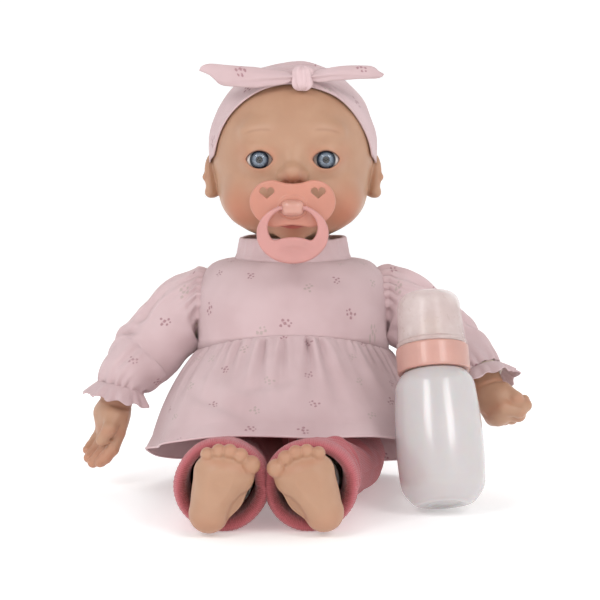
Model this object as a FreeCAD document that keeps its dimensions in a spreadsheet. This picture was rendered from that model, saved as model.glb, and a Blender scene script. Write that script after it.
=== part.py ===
import FreeCAD, Part
import Sketcher
import os
import re

# A seated soft-bodied baby doll with vinyl head, hands and feet, a sound module in its back,
# a dress, trousers, headband, pacifier and feeding bottle. It faces -Y and +Z is up.
# The origin is under the crotch, on the surface it sits on. "left" is the -X side.

dimensions = {
    # head
    "head_wide": 96.5, "head_deep": 100, "head_tall": 102, "head_mid_y": 5, "head_mid_z": 200,
    "jaw_wide": 85, "jaw_deep": 86, "jaw_tall": 49, "jaw_mid_y": -1, "jaw_drop": 28,
    "vinyl_wall": 2.5,
    "nose_wide": 17, "nose_tall": 12, "nose_out": 6.5, "nose_drop": 13,
    "ear_tall": 27, "ear_deep": 16, "ear_thick": 8, "ear_drop": 15, "ear_back": 3,
    "eye_apart": 38.5, "eye_drop": 5, "eye_ball": 9, "eye_sink": 7, "iris_rad": 5.6,
    "iris_thick": 0.6, "cornea_deep": 2.1,
    "mouth_drop": 32, "cup_bore": 8, "cup_wall": 1.2, "cup_deep": 22,
    "reed_rad": 1.5, "reed_long": 14, "lead_rad": 1,
    # neck swivel
    "neck_rad": 19.5, "neck_wall": 3, "neck_bottom": 131, "neck_lip": 1.0, "neck_lip_tall": 3,
    "cloth_gap": 0.4, "cloth_thick": 1.2,
    # headband
    "band_thick": 1.8, "band_gap": 0.3, "band_front_y": -30, "band_front_up": 37.5,
    "band_lean": 22.5, "band_nape_up": -8, "band_nape_fall": 16, "crown_rad": 31, "crown_back": 17,
    "knot_wide": 12, "knot_tall": 13, "knot_deep": 11, "knot_side": 5.6,
    "tail_long": 49, "tail_gap": 0.05, "tail_wide": 13, "tail_thick": 4, "tail_rise": 2,
    # trunk
    "belly_wide": 108, "belly_deep": 84, "belly_tall": 156, "belly_mid_y": 2, "belly_mid_z": 66,
    "yoke_wide": 120, "yoke_deep": 48, "yoke_tall": 44, "yoke_mid_y": 6, "yoke_mid_z": 112,
    "seat_wide": 112, "seat_deep": 52, "seat_tall": 72, "seat_mid_y": 16, "seat_mid_z": 30,
    "back_flat_y": 31.5, "back_flat_z": 36, "nape_top": 147,
    "seat_cloth": 1.4, "seat_gap": 0.4, "seat_top": 50,
    # shoulders and arms
    "shoulder_x": 58, "shoulder_y": 8, "shoulder_z": 111, "shoulder_ball": 20,
    "arm_ball": 16.5, "arm_inset": 4, "sleeve_thick": 2.6, "shoulder_wall": 2.5,
    "left_elbow_x": 91, "left_elbow_y": 2, "left_elbow_z": 73,
    "left_cuff_x": 102, "left_cuff_y": -6, "left_cuff_z": 63,
    "left_wrist_x": 105, "left_wrist_y": -8, "left_wrist_z": 54,
    "left_hand_out": 12.8, "left_hand_fore": 5.2, "left_hand_turn": 35,
    "right_elbow_x": 88, "right_elbow_y": -2, "right_elbow_z": 85,
    "right_cuff_x": 106, "right_cuff_y": -19, "right_cuff_z": 73,
    "right_wrist_x": 113, "right_wrist_y": -28, "right_wrist_z": 65,
    "right_hand_out": 22, "right_hand_fore": 28.7, "right_hand_turn": 60,
    "elbow_ball": 20.5, "cuff_ball": 17, "stub_rad": 9, "stub_long": 16, "stub_lip": 1.5,
    "tie_rad": 0.8, "frill_rad": 18.5, "frill_tall": 8, "frill_top": 5, "frill_thick": 1.4,
    "palm_wide": 27, "palm_thick": 20, "palm_long": 32, "finger_long": 24, "thumb_long": 20,
    "left_curl": 12, "right_curl": 62,
    # hips, legs and feet
    "hip_y": 5, "hip_z": 20, "hip_rad": 19, "hip_inner": 5, "hip_outer": 52, "crotch_gap": 0.5,
    "thigh_x": 36, "thigh_rad": 18.6, "thigh_taper": 2.2, "mouth_share": 0.08,
    "calf_top_y": -98, "calf_top_z": 20.5, "calf_top_rad": 19, "knee_step": 1.5,
    "cuff_y": -148, "cuff_z": 24.6,
    "leg_end_rad": 22.8, "leg_cloth": 1.4, "left_calf_x": -37, "right_calf_x": 11,
    "left_leg_end_x": -37.8, "right_leg_end_x": 9.8,
    "shin_rad": 13, "shin_top_y": -112, "shin_z": 23, "shin_lip": 1.6, "thigh_end_y": -122,
    "foot_long": 50, "foot_wide": 31, "foot_thick": 21, "foot_mid_y": -163, "foot_mid_z": 25.6,
    "left_foot_x": -37.6, "right_foot_x": 9.4, "left_foot_tilt": 14, "right_foot_tilt": 20,
    "toe_rad": 4.4, "big_toe_rad": 5.7,
    # dress
    "dress_thick": 1.4, "dress_gap": 0.9, "back_full_wide": 104, "back_full_deep": 76,
    "back_full_tall": 120, "back_full_y": 10, "back_full_z": 75,
    "seam_z": 85, "seam_wide": 110, "seam_deep": 89,
    "seam_mid_y": 3.2, "hem_wide": 176, "hem_deep": 140, "hem_mid_y": -19, "hem_mid_z": 21,
    "hem_tilt": 15.8, "collar_low_rad": 34, "collar_top_rad": 31, "collar_low_z": 134,
    "collar_top_z": 147.6, "collar_mid_y": 4, "tape_wide": 16, "tape_long": 18, "tape_in": 6,
    # sound module
    "case_wide": 61, "case_tall": 62, "case_mid_z": 74, "case_front_y": 1, "case_split_y": 13,
    "case_wall": 1.8, "cell_rad": 7.25, "cell_long": 50.5, "cell_step": 15.2, "cell_gap": 0.3,
    "contact_long": 2.2, "contact_rad": 3.5, "board_thick": 1.6, "board_gap": 0.6,
    "speaker_rad": 20, "speaker_deep": 6, "screw_rad": 1.3, "screw_long": 16, "screw_in": 4.5,
    "door_tall": 48, "door_wide": 55, "door_thick": 2, "door_up": 0, "door_gap": 0.3,
    "switch_wide": 6, "switch_tall": 5, "switch_travel": 3, "switch_out": 1.6, "switch_drop": 27.3,
    # pacifier
    "shield_wide": 49, "shield_tall": 25, "shield_thick": 3, "shield_y": -57.5, "shield_up": 2.6,
    "shield_lobe": 12.5, "heart_wide": 8, "heart_side": 14.5, "heart_up": 8,
    "teat_rad": 6.4, "teat_neck": 4.6, "teat_long": 21, "magnet_rad": 3, "magnet_long": 3,
    "button_wide": 13, "button_tall": 9.5, "button_out": 6.8, "ring_wide": 41, "ring_tall": 34,
    "ring_thick": 3.6, "ring_side": 6.5, "ring_foot": 15, "ring_gap": 0.8, "ring_pin": 1.2,
    "pin_gap": 0.05, "ring_pivot_y": -61,
    # bottle
    "bottle_x": 84.3, "bottle_y": -104, "bottle_back": 21, "bottle_side": 3.7,
    "bottle_rad": 24.5, "bottle_tall": 76, "bottle_round": 14, "bottle_shoulder": 7,
    "bottle_wall": 1.5, "bottle_neck": 16.5, "bottle_neck_tall": 10, "ring_fit": 0.1,
    "screw_cap_rad": 20.5, "screw_cap_tall": 14.5, "cap_seat": 4, "cap_tall": 32,
    "cap_top_rad": 17, "cap_wall": 1.4, "cap_round": 12, "nipple_rad": 7, "nipple_tall": 21,
    "floor_gap": 0.1,
}

edge_match = 0.01  # how closely a circle agrees with the edge asked for

doc = FreeCAD.newDocument("baby_doll")
sheet = doc.addObject("Spreadsheet::Sheet", "dims")
for row, (name, value) in enumerate(dimensions.items(), start=1):
    sheet.set(f"A{row}", name)
    sheet.set(f"B{row}", str(value))
    sheet.setAlias(f"B{row}", name)
doc.recompute()


def cell(text):
    """Text with each named size turned into a reference to its cell."""
    return re.sub(r"[a-z]+(_[a-z]+)+", lambda word: "dims." + word.group(0), str(text))


def bind(thing, **sizes):
    for field, text in sizes.items():
        thing.setExpression(field, cell(text))
    return thing


def place(thing, at=("0", "0", "0"), turn=("0", "0", "0")):
    """Puts thing at a point, turned by yaw, pitch and roll in degrees."""
    spot = "; ".join(f"({cell(part)})" for part in at)
    spin = "; ".join(f"({cell(part)})" for part in turn)
    thing.setExpression("Placement", f"placement(vector({spot}); rotation({spin}))")
    return thing


def make(kind, name):
    return doc.addObject("Part::" + kind, name)


def ball(name, at, radius):
    return place(bind(make("Sphere", name), Radius=radius), at)


def egg(name, at, half_x, half_y, half_z, turn=("0", "0", "0")):
    solid = make("Ellipsoid", name)
    return place(bind(solid, Radius1=half_z, Radius2=half_x, Radius3=half_y), at, turn)


def block(name, low, size):
    return place(bind(make("Box", name), Length=size[0], Width=size[1], Height=size[2]), low)


def rod(name, at, radius, tall, turn=("0", "0", "0")):
    return place(bind(make("Cylinder", name), Radius=radius, Height=tall), at, turn)


def halfspace(name, at, turn):
    """A very large block that fills the side below a plane through at, its top being the plane."""
    solid = bind(make("Box", name), Length="8*belly_tall", Width="8*belly_tall",
                 Height="4*belly_tall")
    spot = "; ".join(f"({cell(part)})" for part in at)
    spin = "; ".join(f"({cell(part)})" for part in turn)
    reach = cell("4*belly_tall")
    solid.setExpression("Placement", f"placement(vector({spot}); rotation({spin})) * "
                        f"placement(vector(0 - {reach}; 0 - {reach}; 0 - {reach}); "
                        "rotation(0; 0; 0))")
    return solid


def hoop(name, at, radius, thick, turn=("0", "0", "0")):
    return place(bind(make("Torus", name), Radius1=radius, Radius2=thick), at, turn)


def bone(name, start, end, start_rad, end_rad):
    """A cone whose axis runs from start to end."""
    run = [f"(({b}) - ({a}))" for a, b in zip(start, end)]
    reach = f"sqrt({run[0]}^2 + {run[1]}^2 + {run[2]}^2)"
    solid = bind(make("Cone", name), Radius1=start_rad, Radius2=end_rad, Height=reach)
    spot = "; ".join(f"({cell(part)})" for part in start)
    across = f"vector(0 - {cell(run[1])}; {cell(run[0])}; 0)"
    angle = f"acos({cell(run[2])} / {cell(reach)})"
    solid.setExpression("Placement", f"placement(vector({spot}); rotation({across}; {angle}))")
    return solid


def join(name, *pieces):
    whole = make("MultiFuse", name)
    whole.Shapes = list(pieces)
    return whole


def cut(name, base, tool):
    left = make("Cut", name)
    left.Base, left.Tool = base, tool
    return left


def carve(name, base, *tools):
    """Cuts the tools away one after another."""
    for number, tool in enumerate(tools[:-1]):
        base = cut(f"{name}_step_{number}", base, tool)
    return cut(name, base, tools[-1])


def common(name, *pieces):
    shared = make("MultiCommon", name)
    shared.Shapes = list(pieces)
    return shared


def slab(name, at, half_x, half_y, thick, turn=("0", "0", "0")):
    """An elliptical plate standing on the XY plane of its own frame, before it is turned."""
    edge = bind(make("Ellipse", name + "_edge"), MajorRadius=half_x, MinorRadius=half_y)
    plate = make("Extrusion", name)
    plate.Base = edge
    plate.DirMode = "Custom"
    plate.Dir = FreeCAD.Vector(0, 0, 1)
    plate.Solid = True
    return place(bind(plate, LengthFwd=thick), at, turn)


def origin_plane(body, role):
    return next(part for part in body.Origin.OriginFeatures if part.Role == role)


def outline(body, name, role, points):
    """A closed sketch of straight edges whose corners are bound to the sheet."""
    sketch = body.newObject("Sketcher::SketchObject", name)
    sketch.AttachmentSupport = (origin_plane(body, role), [""])
    sketch.MapMode = "FlatFace"
    values = [[evaluate(part) for part in point] for point in points]
    count = len(points)
    for index in range(count):
        start, end = values[index], values[(index + 1) % count]
        sketch.addGeometry(Part.LineSegment(FreeCAD.Vector(*start, 0), FreeCAD.Vector(*end, 0)))
    for index in range(count):
        sketch.addConstraint(Sketcher.Constraint("Coincident", index, 2, (index + 1) % count, 1))
    for index, point in enumerate(points):
        for axis, label in (("DistanceX", "across"), ("DistanceY", "up")):
            which = 0 if label == "across" else 1
            rule = Sketcher.Constraint(axis, -1, 1, index, 1, values[index][which])
            number = sketch.addConstraint(rule)
            sketch.renameConstraint(number, f"{label}_{index}")
            sketch.setExpression(f"Constraints.{label}_{index}", cell(point[which]))
    return sketch


def evaluate(text):
    return float(sheet.evalExpression(cell(text)))


def turned(name, points, roundings=()):
    """A body of revolution about its own Z axis. Each rounding names a circular edge by its
    radius and height, and the size it is rounded to."""
    body = doc.addObject("PartDesign::Body", name)
    sketch = outline(body, name + "_outline", "XZ_Plane", points)
    shape = body.newObject("PartDesign::Revolution", name + "_turn")
    shape.Profile = sketch
    shape.ReferenceAxis = (sketch, ["V_Axis"])
    shape.Angle = 360
    for count, (radius, height, size) in enumerate(roundings):
        doc.recompute()
        names = [f"Edge{number}" for number, edge in enumerate(shape.Shape.Edges, start=1)
                 if is_circle(edge, evaluate(radius), evaluate(height))]
        rounded = body.newObject("PartDesign::Fillet", f"{name}_rounding_{count}")
        rounded.Base = (shape, names)
        shape = bind(rounded, Radius=size)
        body.Tip = shape
    return body


def is_circle(edge, radius, height):
    if not isinstance(edge.Curve, Part.Circle):
        return False
    spread = abs(edge.Curve.Radius - radius) + abs(edge.Curve.Center.z - height)
    return spread < edge_match


def padded(name, role, points, thick, at=("0", "0", "0")):
    """A plate made by padding a sketch on one of the body's own planes."""
    body = doc.addObject("PartDesign::Body", name)
    sketch = outline(body, name + "_outline", role, points)
    pad = body.newObject("PartDesign::Pad", name + "_pad")
    pad.Profile = sketch
    bind(pad, Length=thick)
    return place(body, at)


def rectangle(wide, tall):
    return [(f"0 - ({wide})/2", f"0 - ({tall})/2"), (f"({wide})/2", f"0 - ({tall})/2"),
            (f"({wide})/2", f"({tall})/2"), (f"0 - ({wide})/2", f"({tall})/2")]


sub_parts = {}


def keep(name, thing):
    thing.Label = name
    sub_parts[name] = thing
    return thing


# head

head_mid = ("0", "head_mid_y", "head_mid_z")
jaw_mid = ("0", "jaw_mid_y", "(head_mid_z - jaw_drop)")
eye_z = "(head_mid_z - eye_drop)"
mouth_z = "(head_mid_z - mouth_drop)"


def skull_front(x, z):
    """The y of the skull's front surface at a given x and z."""
    inside = f"1 - (({x})/(head_wide/2))^2 - ((({z}) - head_mid_z)/(head_tall/2))^2"
    return f"(head_mid_y - head_deep/2*sqrt({inside}))"


def jaw_front(z):
    inside = f"1 - ((({z}) - head_mid_z + jaw_drop)/(jaw_tall/2))^2"
    return f"(jaw_mid_y - jaw_deep/2*sqrt({inside}))"


def skull(name, grow):
    return egg(name, head_mid, f"head_wide/2 + {grow}", f"head_deep/2 + {grow}",
               f"head_tall/2 + {grow}")


def jaw(name, grow):
    return egg(name, jaw_mid, f"jaw_wide/2 + {grow}", f"jaw_deep/2 + {grow}",
               f"jaw_tall/2 + {grow}")


eye_y = f"({skull_front('eye_apart/2', eye_z)} + eye_sink)"
cup_mouth_y = f"({jaw_front(mouth_z)} + vinyl_wall/4)"
lie_back = ("0", "0", "90")       # turns local +Z to -Y
lie_front = ("0", "0", "0 - 90")  # turns local +Z to +Y
neck_tall = "(head_mid_z - jaw_drop - neck_bottom)"

ears = [egg(f"ear_{side}", (f"{sign}*(head_wide/2 - ear_thick/8)", "head_mid_y + ear_back",
                            "head_mid_z - ear_drop"), "ear_thick/2", "ear_deep/2", "ear_tall/2")
        for side, sign in (("left", -1), ("right", 1))]
nose = egg("nose", ("0", f"{skull_front('0', 'head_mid_z - nose_drop')}", "head_mid_z - nose_drop"),
           "nose_wide/2", "nose_out", "nose_tall/2")
neck_tube = rod("neck_tube", ("0", "head_mid_y", "neck_bottom"), "neck_rad", neck_tall)
neck_ledge = rod("neck_ledge", ("0", "head_mid_y", "neck_bottom"), "neck_rad + neck_lip",
                 "neck_lip_tall")
head_outside = join("head_outside", skull("skull_outside", "0"), jaw("jaw_outside", "0"),
                    *ears, nose, neck_tube, neck_ledge)
eye_spots = {side: (f"{sign}*eye_apart/2", eye_y, eye_z) for side, sign in (("left", -1), ("right", 1))}
eye_holes = [ball(f"eye_hole_{side}", spot, "eye_ball") for side, spot in eye_spots.items()]
mouth_hole = rod("mouth_hole", ("0", f"{cup_mouth_y} + cup_deep", mouth_z),
                 "cup_bore + cup_wall", "cup_deep + 4*vinyl_wall", lie_back)
neck_bore = rod("neck_bore", ("0", "head_mid_y", "neck_bottom - neck_wall"),
                "neck_rad - neck_wall", f"{neck_tall} + neck_wall")
head_inside = join("head_inside", skull("skull_inside", "0 - vinyl_wall"),
                   jaw("jaw_inside", "0 - vinyl_wall"), neck_bore, mouth_hole, *eye_holes)
keep("head_shell", cut("head_shell", head_outside, head_inside))

pocket_y = f"({eye_y} - eye_ball)"
pocket_deep = "(iris_thick + cornea_deep)"


def eye_rod(name, spot, radius, start, deep):
    return rod(name, (spot[0], f"{start} + ({deep})", spot[2]), radius, deep, lie_back)


whites, irises, corneas = [], [], []
for side, spot in eye_spots.items():
    pocket = eye_rod(f"iris_pocket_{side}", spot, "iris_rad", f"{pocket_y} - eye_ball",
                     f"eye_ball + {pocket_deep}")
    whites.append(cut(f"eyeball_{side}", ball(f"eye_white_{side}", spot, "eye_ball"), pocket))
    irises.append(eye_rod(f"iris_{side}", spot, "iris_rad", f"{pocket_y} + cornea_deep",
                          "iris_thick"))
    front = eye_rod(f"cornea_front_{side}", spot, "iris_rad", f"{pocket_y} - eye_ball",
                    "eye_ball + cornea_deep")
    corneas.append(common(f"cornea_{side}", ball(f"cornea_ball_{side}", spot, "eye_ball"), front))
keep("eyeballs", join("eyeballs", *whites))
keep("irises", join("irises", *irises))
keep("corneas", join("corneas", *corneas))

cup = turned("mouth_cup", [("0", "0"), ("cup_bore + cup_wall", "0"),
                           ("cup_bore + cup_wall", "cup_deep"), ("cup_bore", "cup_deep"),
                           ("cup_bore", "cup_wall"), ("0", "cup_wall")])
keep("mouth_cup", place(cup, ("0", f"{cup_mouth_y} + cup_deep", mouth_z), lie_back))
reed_y = f"({cup_mouth_y} + cup_deep + reed_rad)"
keep("mouth_reed_switch", rod("mouth_reed_switch", ("0 - reed_long/2", reed_y, mouth_z),
                              "reed_rad", "reed_long", ("0", "90", "0")))
# the lead drops from the switch, turns back to the swivel axis and runs down through the neck
lead_turn_z = f"({mouth_z} - 3*lead_rad)"


def lead_arm(name, start_y, end_y, z):
    return rod(name, ("0", end_y, z), "lead_rad", f"({end_y}) - ({start_y})", lie_back)


keep("head_lead", join(
    "head_lead",
    rod("head_lead_top", ("0", reed_y, lead_turn_z), "lead_rad",
        f"{mouth_z} - reed_rad - {lead_turn_z}"),
    lead_arm("head_lead_back", reed_y, "head_mid_y", lead_turn_z),
    ball("head_lead_knee", ("0", reed_y, lead_turn_z), "lead_rad*1.02"),
    ball("head_lead_elbow", ("0", "head_mid_y", lead_turn_z), "lead_rad*1.02"),
    rod("head_lead_drop", ("0", "head_mid_y", "neck_bottom"), "lead_rad",
        f"{lead_turn_z} - neck_bottom")))

# headband: a band of the skull's own curve, open over the face and the crown
band_shell = cut("band_shell", skull("band_outside", "band_gap + band_thick"),
                 skull("band_inside", "band_gap"))
face_side = halfspace("face_side", ("0", "band_front_y", "head_mid_z + band_front_up"),
                      ("0", "0", "band_lean - 90"))
nape_side = halfspace("nape_side", ("0", "head_mid_y", "head_mid_z + band_nape_up"),
                      ("0", "0", "0 - band_nape_fall"))
crown = rod("crown", ("0", "head_mid_y + crown_back", "head_mid_z"), "crown_rad", "head_tall")
ear_room = [egg(f"ear_room_{side}", (f"{sign}*(head_wide/2 - ear_thick/8)", "head_mid_y + ear_back",
                                     "head_mid_z - ear_drop"),
                "ear_thick/2 + band_gap", "ear_deep/2 + band_gap", "ear_tall/2 + band_gap")
            for side, sign in (("left", -1), ("right", 1))]
keep("headband", cut("headband", band_shell,
                     join("band_openings", face_side, nape_side, crown, *ear_room)))

# the knot sits on the band's front edge and the two tails leave its sides
knot_y = f"({skull_front('knot_side', 'head_mid_z + band_front_up')} - knot_deep/2)"
knot_z = "(head_mid_z + band_front_up + knot_tall/3)"
bow_cutter = skull("bow_cutter", "band_gap + band_thick")
knot = egg("knot_whole", ("knot_side", knot_y, knot_z), "knot_wide/2", "knot_deep/2",
           "knot_tall/2")
keep("headband_knot", cut("headband_knot", knot, bow_cutter))
tail_out = "(knot_wide/2 + tail_gap + tail_long/2)"
tails = [egg(f"tail_{side}", (f"knot_side + {sign}*{tail_out}", knot_y, f"{knot_z} + tail_rise"),
             "tail_long/2", "tail_thick/2", "tail_wide/2", ("0", f"0 - {sign}*3", "0"))
         for side, sign in (("left", -1), ("right", 1))]
keep("headband_bow", join("headband_bow", *tails))

# trunk

arm_spots = {
    side: {
        "sign": sign,
        "shoulder": (f"{sign}*shoulder_x", "shoulder_y", "shoulder_z"),
        "elbow": (f"{sign}*{side}_elbow_x", f"{side}_elbow_y", f"{side}_elbow_z"),
        "cuff": (f"{sign}*{side}_cuff_x", f"{side}_cuff_y", f"{side}_cuff_z"),
        "wrist": (f"{sign}*{side}_wrist_x", f"{side}_wrist_y", f"{side}_wrist_z"),
    }
    for side, sign in (("left", -1), ("right", 1))
}
case_rear_y = "(back_flat_y - cloth_thick)"


def arm_room(name, spots, gap):
    """The space a sleeve needs beside the trunk, from the shoulder to the elbow."""
    return join(name, ball(f"{name}_ball", spots["shoulder"], f"shoulder_ball + {gap}"),
                bone(f"{name}_run", spots["shoulder"], spots["elbow"],
                     f"shoulder_ball - 1 + {gap}", f"elbow_ball - 0.5 + {gap}"))


def trunk(name, grow, floor, gap, extra, flat):
    """The stuffed trunk grown by a distance, hollowed where arms and legs turn against it and
    where the legs swing down."""
    web = f"(hip_inner - crotch_gap - seat_cloth - seat_gap + {grow})"
    parts = [
        egg(f"{name}_belly", ("0", "belly_mid_y", "belly_mid_z"), f"belly_wide/2 + {grow}",
            f"belly_deep/2 + {grow}", f"belly_tall/2 + {grow}"),
        egg(f"{name}_chest", ("0", "yoke_mid_y", "yoke_mid_z"), f"yoke_wide/2 + {grow}",
            f"yoke_deep/2 + {grow}", f"yoke_tall/2 + {grow}")]
    rooms = [halfspace(f"{name}_below", ("0", "0", floor), ("0", "0", "0"))]
    if "seat" in extra:
        parts.append(egg(f"{name}_seat", ("0", "seat_mid_y", "seat_mid_z"),
                         f"seat_wide/2 + {grow}", f"seat_deep/2 + {grow}",
                         f"seat_tall/2 + {grow}"))
        parts.append(block(f"{name}_web", (f"0 - {web}", f"hip_y - hip_rad - ({grow})", "0"),
                           (f"2*{web}", f"2*hip_rad + {grow}", "hip_z + hip_rad + cloth_gap")))
    if "throat" in extra:
        parts.append(rod(f"{name}_throat", ("0", "head_mid_y", "yoke_mid_z"),
                         f"neck_rad + cloth_gap + 2*cloth_thick + {grow}",
                         f"nape_top - yoke_mid_z + 2*({grow})"))
        parts.append(block(
            f"{name}_pack",
            (f"0 - case_wide/2 - cloth_thick - ({grow})", f"case_front_y - ({grow})",
             f"case_mid_z - case_tall/2 - cloth_thick - ({grow})"),
            (f"case_wide + 2*cloth_thick + 2*({grow})", f"back_flat_y - case_front_y + 2*({grow})",
             f"case_tall + 2*cloth_thick + 2*({grow})")))
    if "full" in extra:
        parts.append(egg(f"{name}_full", ("0", "back_full_y", "back_full_z"),
                         f"back_full_wide/2 + {grow}", f"back_full_deep/2 + {grow}",
                         f"back_full_tall/2 + {grow}"))
    if flat:
        rooms.append(block(f"{name}_flat", ("0 - belly_wide", f"back_flat_y + {grow}",
                                            f"back_flat_z - ({grow})"),
                           ("2*belly_wide", "belly_deep", "belly_tall")))
    for side, spots in arm_spots.items():
        sign = spots["sign"]
        rooms.append(arm_room(f"{name}_arm_{side}", spots, gap))
        reach = "2*hip_outer"
        corner = web if sign > 0 else f"0 - {web} - {reach}"
        rooms.append(rod(f"{name}_hip_{side}", (corner, "hip_y", "hip_z"), f"hip_rad + {gap}",
                         reach, ("0", "90", "0")))
        rooms.append(block(f"{name}_swing_{side}", (corner, "hip_y", "0 - hip_z"),
                           (reach, f"hip_rad + ({gap})", "2*hip_z")))
        rooms.append(block(f"{name}_lap_{side}", (corner, "hip_y - 4*hip_rad", "0 - hip_z"),
                           (reach, "4*hip_rad", f"2*hip_z + hip_rad + ({gap})")))
    return cut(name, join(f"{name}_whole", *parts), join(f"{name}_rooms", *rooms))


neck_room = rod("neck_room", ("0", "head_mid_y", "neck_bottom"), "neck_rad + cloth_gap",
                "2*head_tall")
window = block("window", ("0 - door_wide/2 - 1", "back_flat_y - 2*cloth_thick",
                          "case_mid_z - switch_drop - switch_tall"),
               ("door_wide + 2", "4*cloth_thick",
                "switch_drop + switch_tall + door_up + door_tall/2 + 1"))
trunk_gap = "cloth_gap + seat_cloth + seat_gap"
skin = trunk("trunk_skin", "0", "seat_cloth + seat_gap", trunk_gap, ("seat", "throat"), True)
core = trunk("trunk_core", "0 - cloth_thick", "seat_cloth + seat_gap + cloth_thick",
             f"{trunk_gap} + cloth_thick", ("seat", "throat"), True)
keep("torso_cloth", cut("torso_cloth", skin, join("torso_openings", core, neck_room, window)))

case_low = ("0 - case_wide/2", "case_front_y", "case_mid_z - case_tall/2")
case_room = block("case_room", case_low,
                  ("case_wide", f"{case_rear_y} - case_front_y + cloth_thick", "case_tall"))
lead_room = rod("lead_room", ("0", "head_mid_y", "case_mid_z"), "lead_rad", "head_mid_z")
above_stuffing = rod("above_stuffing", ("0", "head_mid_y", "neck_bottom - cloth_gap"),
                     "1.5*neck_rad", "head_tall")
keep("torso_stuffing", cut("torso_stuffing", core, join("stuffing_rooms", case_room, lead_room,
                                                        above_stuffing)))
keep("neck_tie", hoop("neck_tie", ("0", "head_mid_y", "nape_top - 5"),
                      "neck_rad + cloth_gap + 2*cloth_thick + tie_rad", "tie_rad"))
keep("torso_lead", rod("torso_lead", ("0", "head_mid_y", "case_mid_z + case_tall/2"), "lead_rad",
                       "neck_bottom - case_mid_z - case_tall/2"))

# sound module

case_mid = ("0", "case_front_y", "case_mid_z")


def tray(name, wide, tall, deep, wall):
    """An open box: its floor on the XY plane and its mouth towards +Z."""
    body = padded(name, "XY_Plane", rectangle(wide, tall), deep)
    hollow = outline(body, name + "_hollow", "XY_Plane",
                     rectangle(f"{wide} - 2*{wall}", f"{tall} - 2*{wall}"))
    hollow.setExpression("AttachmentOffset", cell(f"placement(vector(0; 0; {wall}); "
                                                  "rotation(0; 0; 0))"))
    pocket = body.newObject("PartDesign::Pocket", name + "_pocket")
    pocket.Profile = hollow
    pocket.Reversed = True
    bind(pocket, Length=deep)
    body.Tip = pocket
    return body


front_tray = place(tray("front_tray", "case_wide", "case_tall", "(case_split_y - case_front_y)",
                        "case_wall"), case_mid, lie_front)
rear_tray = place(tray("rear_tray", "case_wide", "case_tall", f"({case_rear_y} - case_split_y)",
                       "case_wall"), ("0", case_rear_y, "case_mid_z"), lie_back)
grille = []
for ring, count in ((0, 1), (1, 6), (2, 12)):
    for index in range(count):
        angle = 360 / count * index
        spread = f"{ring}*speaker_rad/3.2"
        grille.append(rod(f"grille_{ring}_{index}",
                          (f"{spread}*cos({angle})", "case_front_y + 2*case_wall",
                           f"case_mid_z + {spread}*sin({angle})"), "screw_rad",
                          "4*case_wall", lie_back))
corners = [(across, up) for across in (-1, 1) for up in (-1, 1)]


def corner_spot(across, up, y):
    return (f"{across}*(case_wide/2 - screw_in)", y, f"case_mid_z + {up}*(case_tall/2 - screw_in)")


posts, holes, screws = [], [], []
for number, (across, up) in enumerate(corners):
    posts.append(rod(f"post_{number}", corner_spot(across, up, case_rear_y), "2.2*screw_rad",
                     f"{case_rear_y} - case_split_y", lie_back))
    holes.append(rod(f"screw_hole_{number}", corner_spot(across, up, f"{case_rear_y} + 1"),
                     "screw_rad", "screw_long + 1", lie_back))
    screws.append(rod(f"case_screw_{number}", corner_spot(across, up, case_rear_y), "screw_rad",
                      "screw_long", lie_back))
nuts = [rod(f"boss_{number}", corner_spot(across, up, "case_split_y"), "2.2*screw_rad",
            "case_split_y - case_front_y - case_wall/2", lie_back)
        for number, (across, up) in enumerate(corners)]
front_holes = [rod(f"boss_hole_{number}", corner_spot(across, up, f"{case_rear_y} + 1"),
                   "screw_rad", "screw_long + 1", lie_back)
               for number, (across, up) in enumerate(corners)]
keep("sound_case_front", cut("sound_case_front", join("front_whole", front_tray, *nuts),
                             join("front_openings", *grille, *front_holes)))
door_z = "(case_mid_z + door_up)"
bay = block("bay", ("0 - door_wide/2 + case_wall", f"{case_rear_y} - 2*case_wall",
                    f"{door_z} - door_tall/2 + case_wall"),
            ("door_wide - 2*case_wall", "4*case_wall", "door_tall - 2*case_wall"))
switch_z = "(case_mid_z - switch_drop)"
slot = block("slot", ("0 - switch_wide/4 - switch_travel/2 - 0.2", f"{case_rear_y} - 2*case_wall",
                      f"{switch_z} - switch_tall/4 - 0.1"),
             ("switch_wide/2 + switch_travel + 0.4", "4*case_wall", "switch_tall/2 + 0.2"))
keep("sound_case_rear", cut("sound_case_rear", join("rear_whole", rear_tray, *posts),
                            join("rear_openings", bay, slot, *holes)))
keep("case_screws", join("case_screws", *screws))

door = padded("door_plate", "XY_Plane", rectangle("door_wide", "door_tall"), "door_thick")
place(door, ("0", case_rear_y, door_z), lie_front)
door_lip = block("door_lip", ("0 - door_wide/2 + case_wall + door_gap",
                              f"{case_rear_y} - case_wall/2",
                              f"{door_z} - door_tall/2 + case_wall + door_gap"),
                 ("door_wide - 2*case_wall - 2*door_gap", "case_wall/2 + door_thick/2",
                  "door_tall - 2*case_wall - 2*door_gap"))
keep("battery_door", join("battery_door", door, door_lip))
knob_stem = block("knob_stem", ("0 - switch_wide/4 - switch_travel/2",
                                f"{case_rear_y} - case_wall - 1", f"{switch_z} - switch_tall/4"),
                  ("switch_wide/2", "case_wall + 1.2", "switch_tall/2"))
knob_cap = block("knob_cap", ("0 - switch_wide/2 - switch_travel/2", f"{case_rear_y} + 0.1",
                              f"{switch_z} - switch_tall/2"),
                 ("switch_wide", "switch_out", "switch_tall"))
keep("switch_knob", join("switch_knob", knob_stem, knob_cap))

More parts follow.
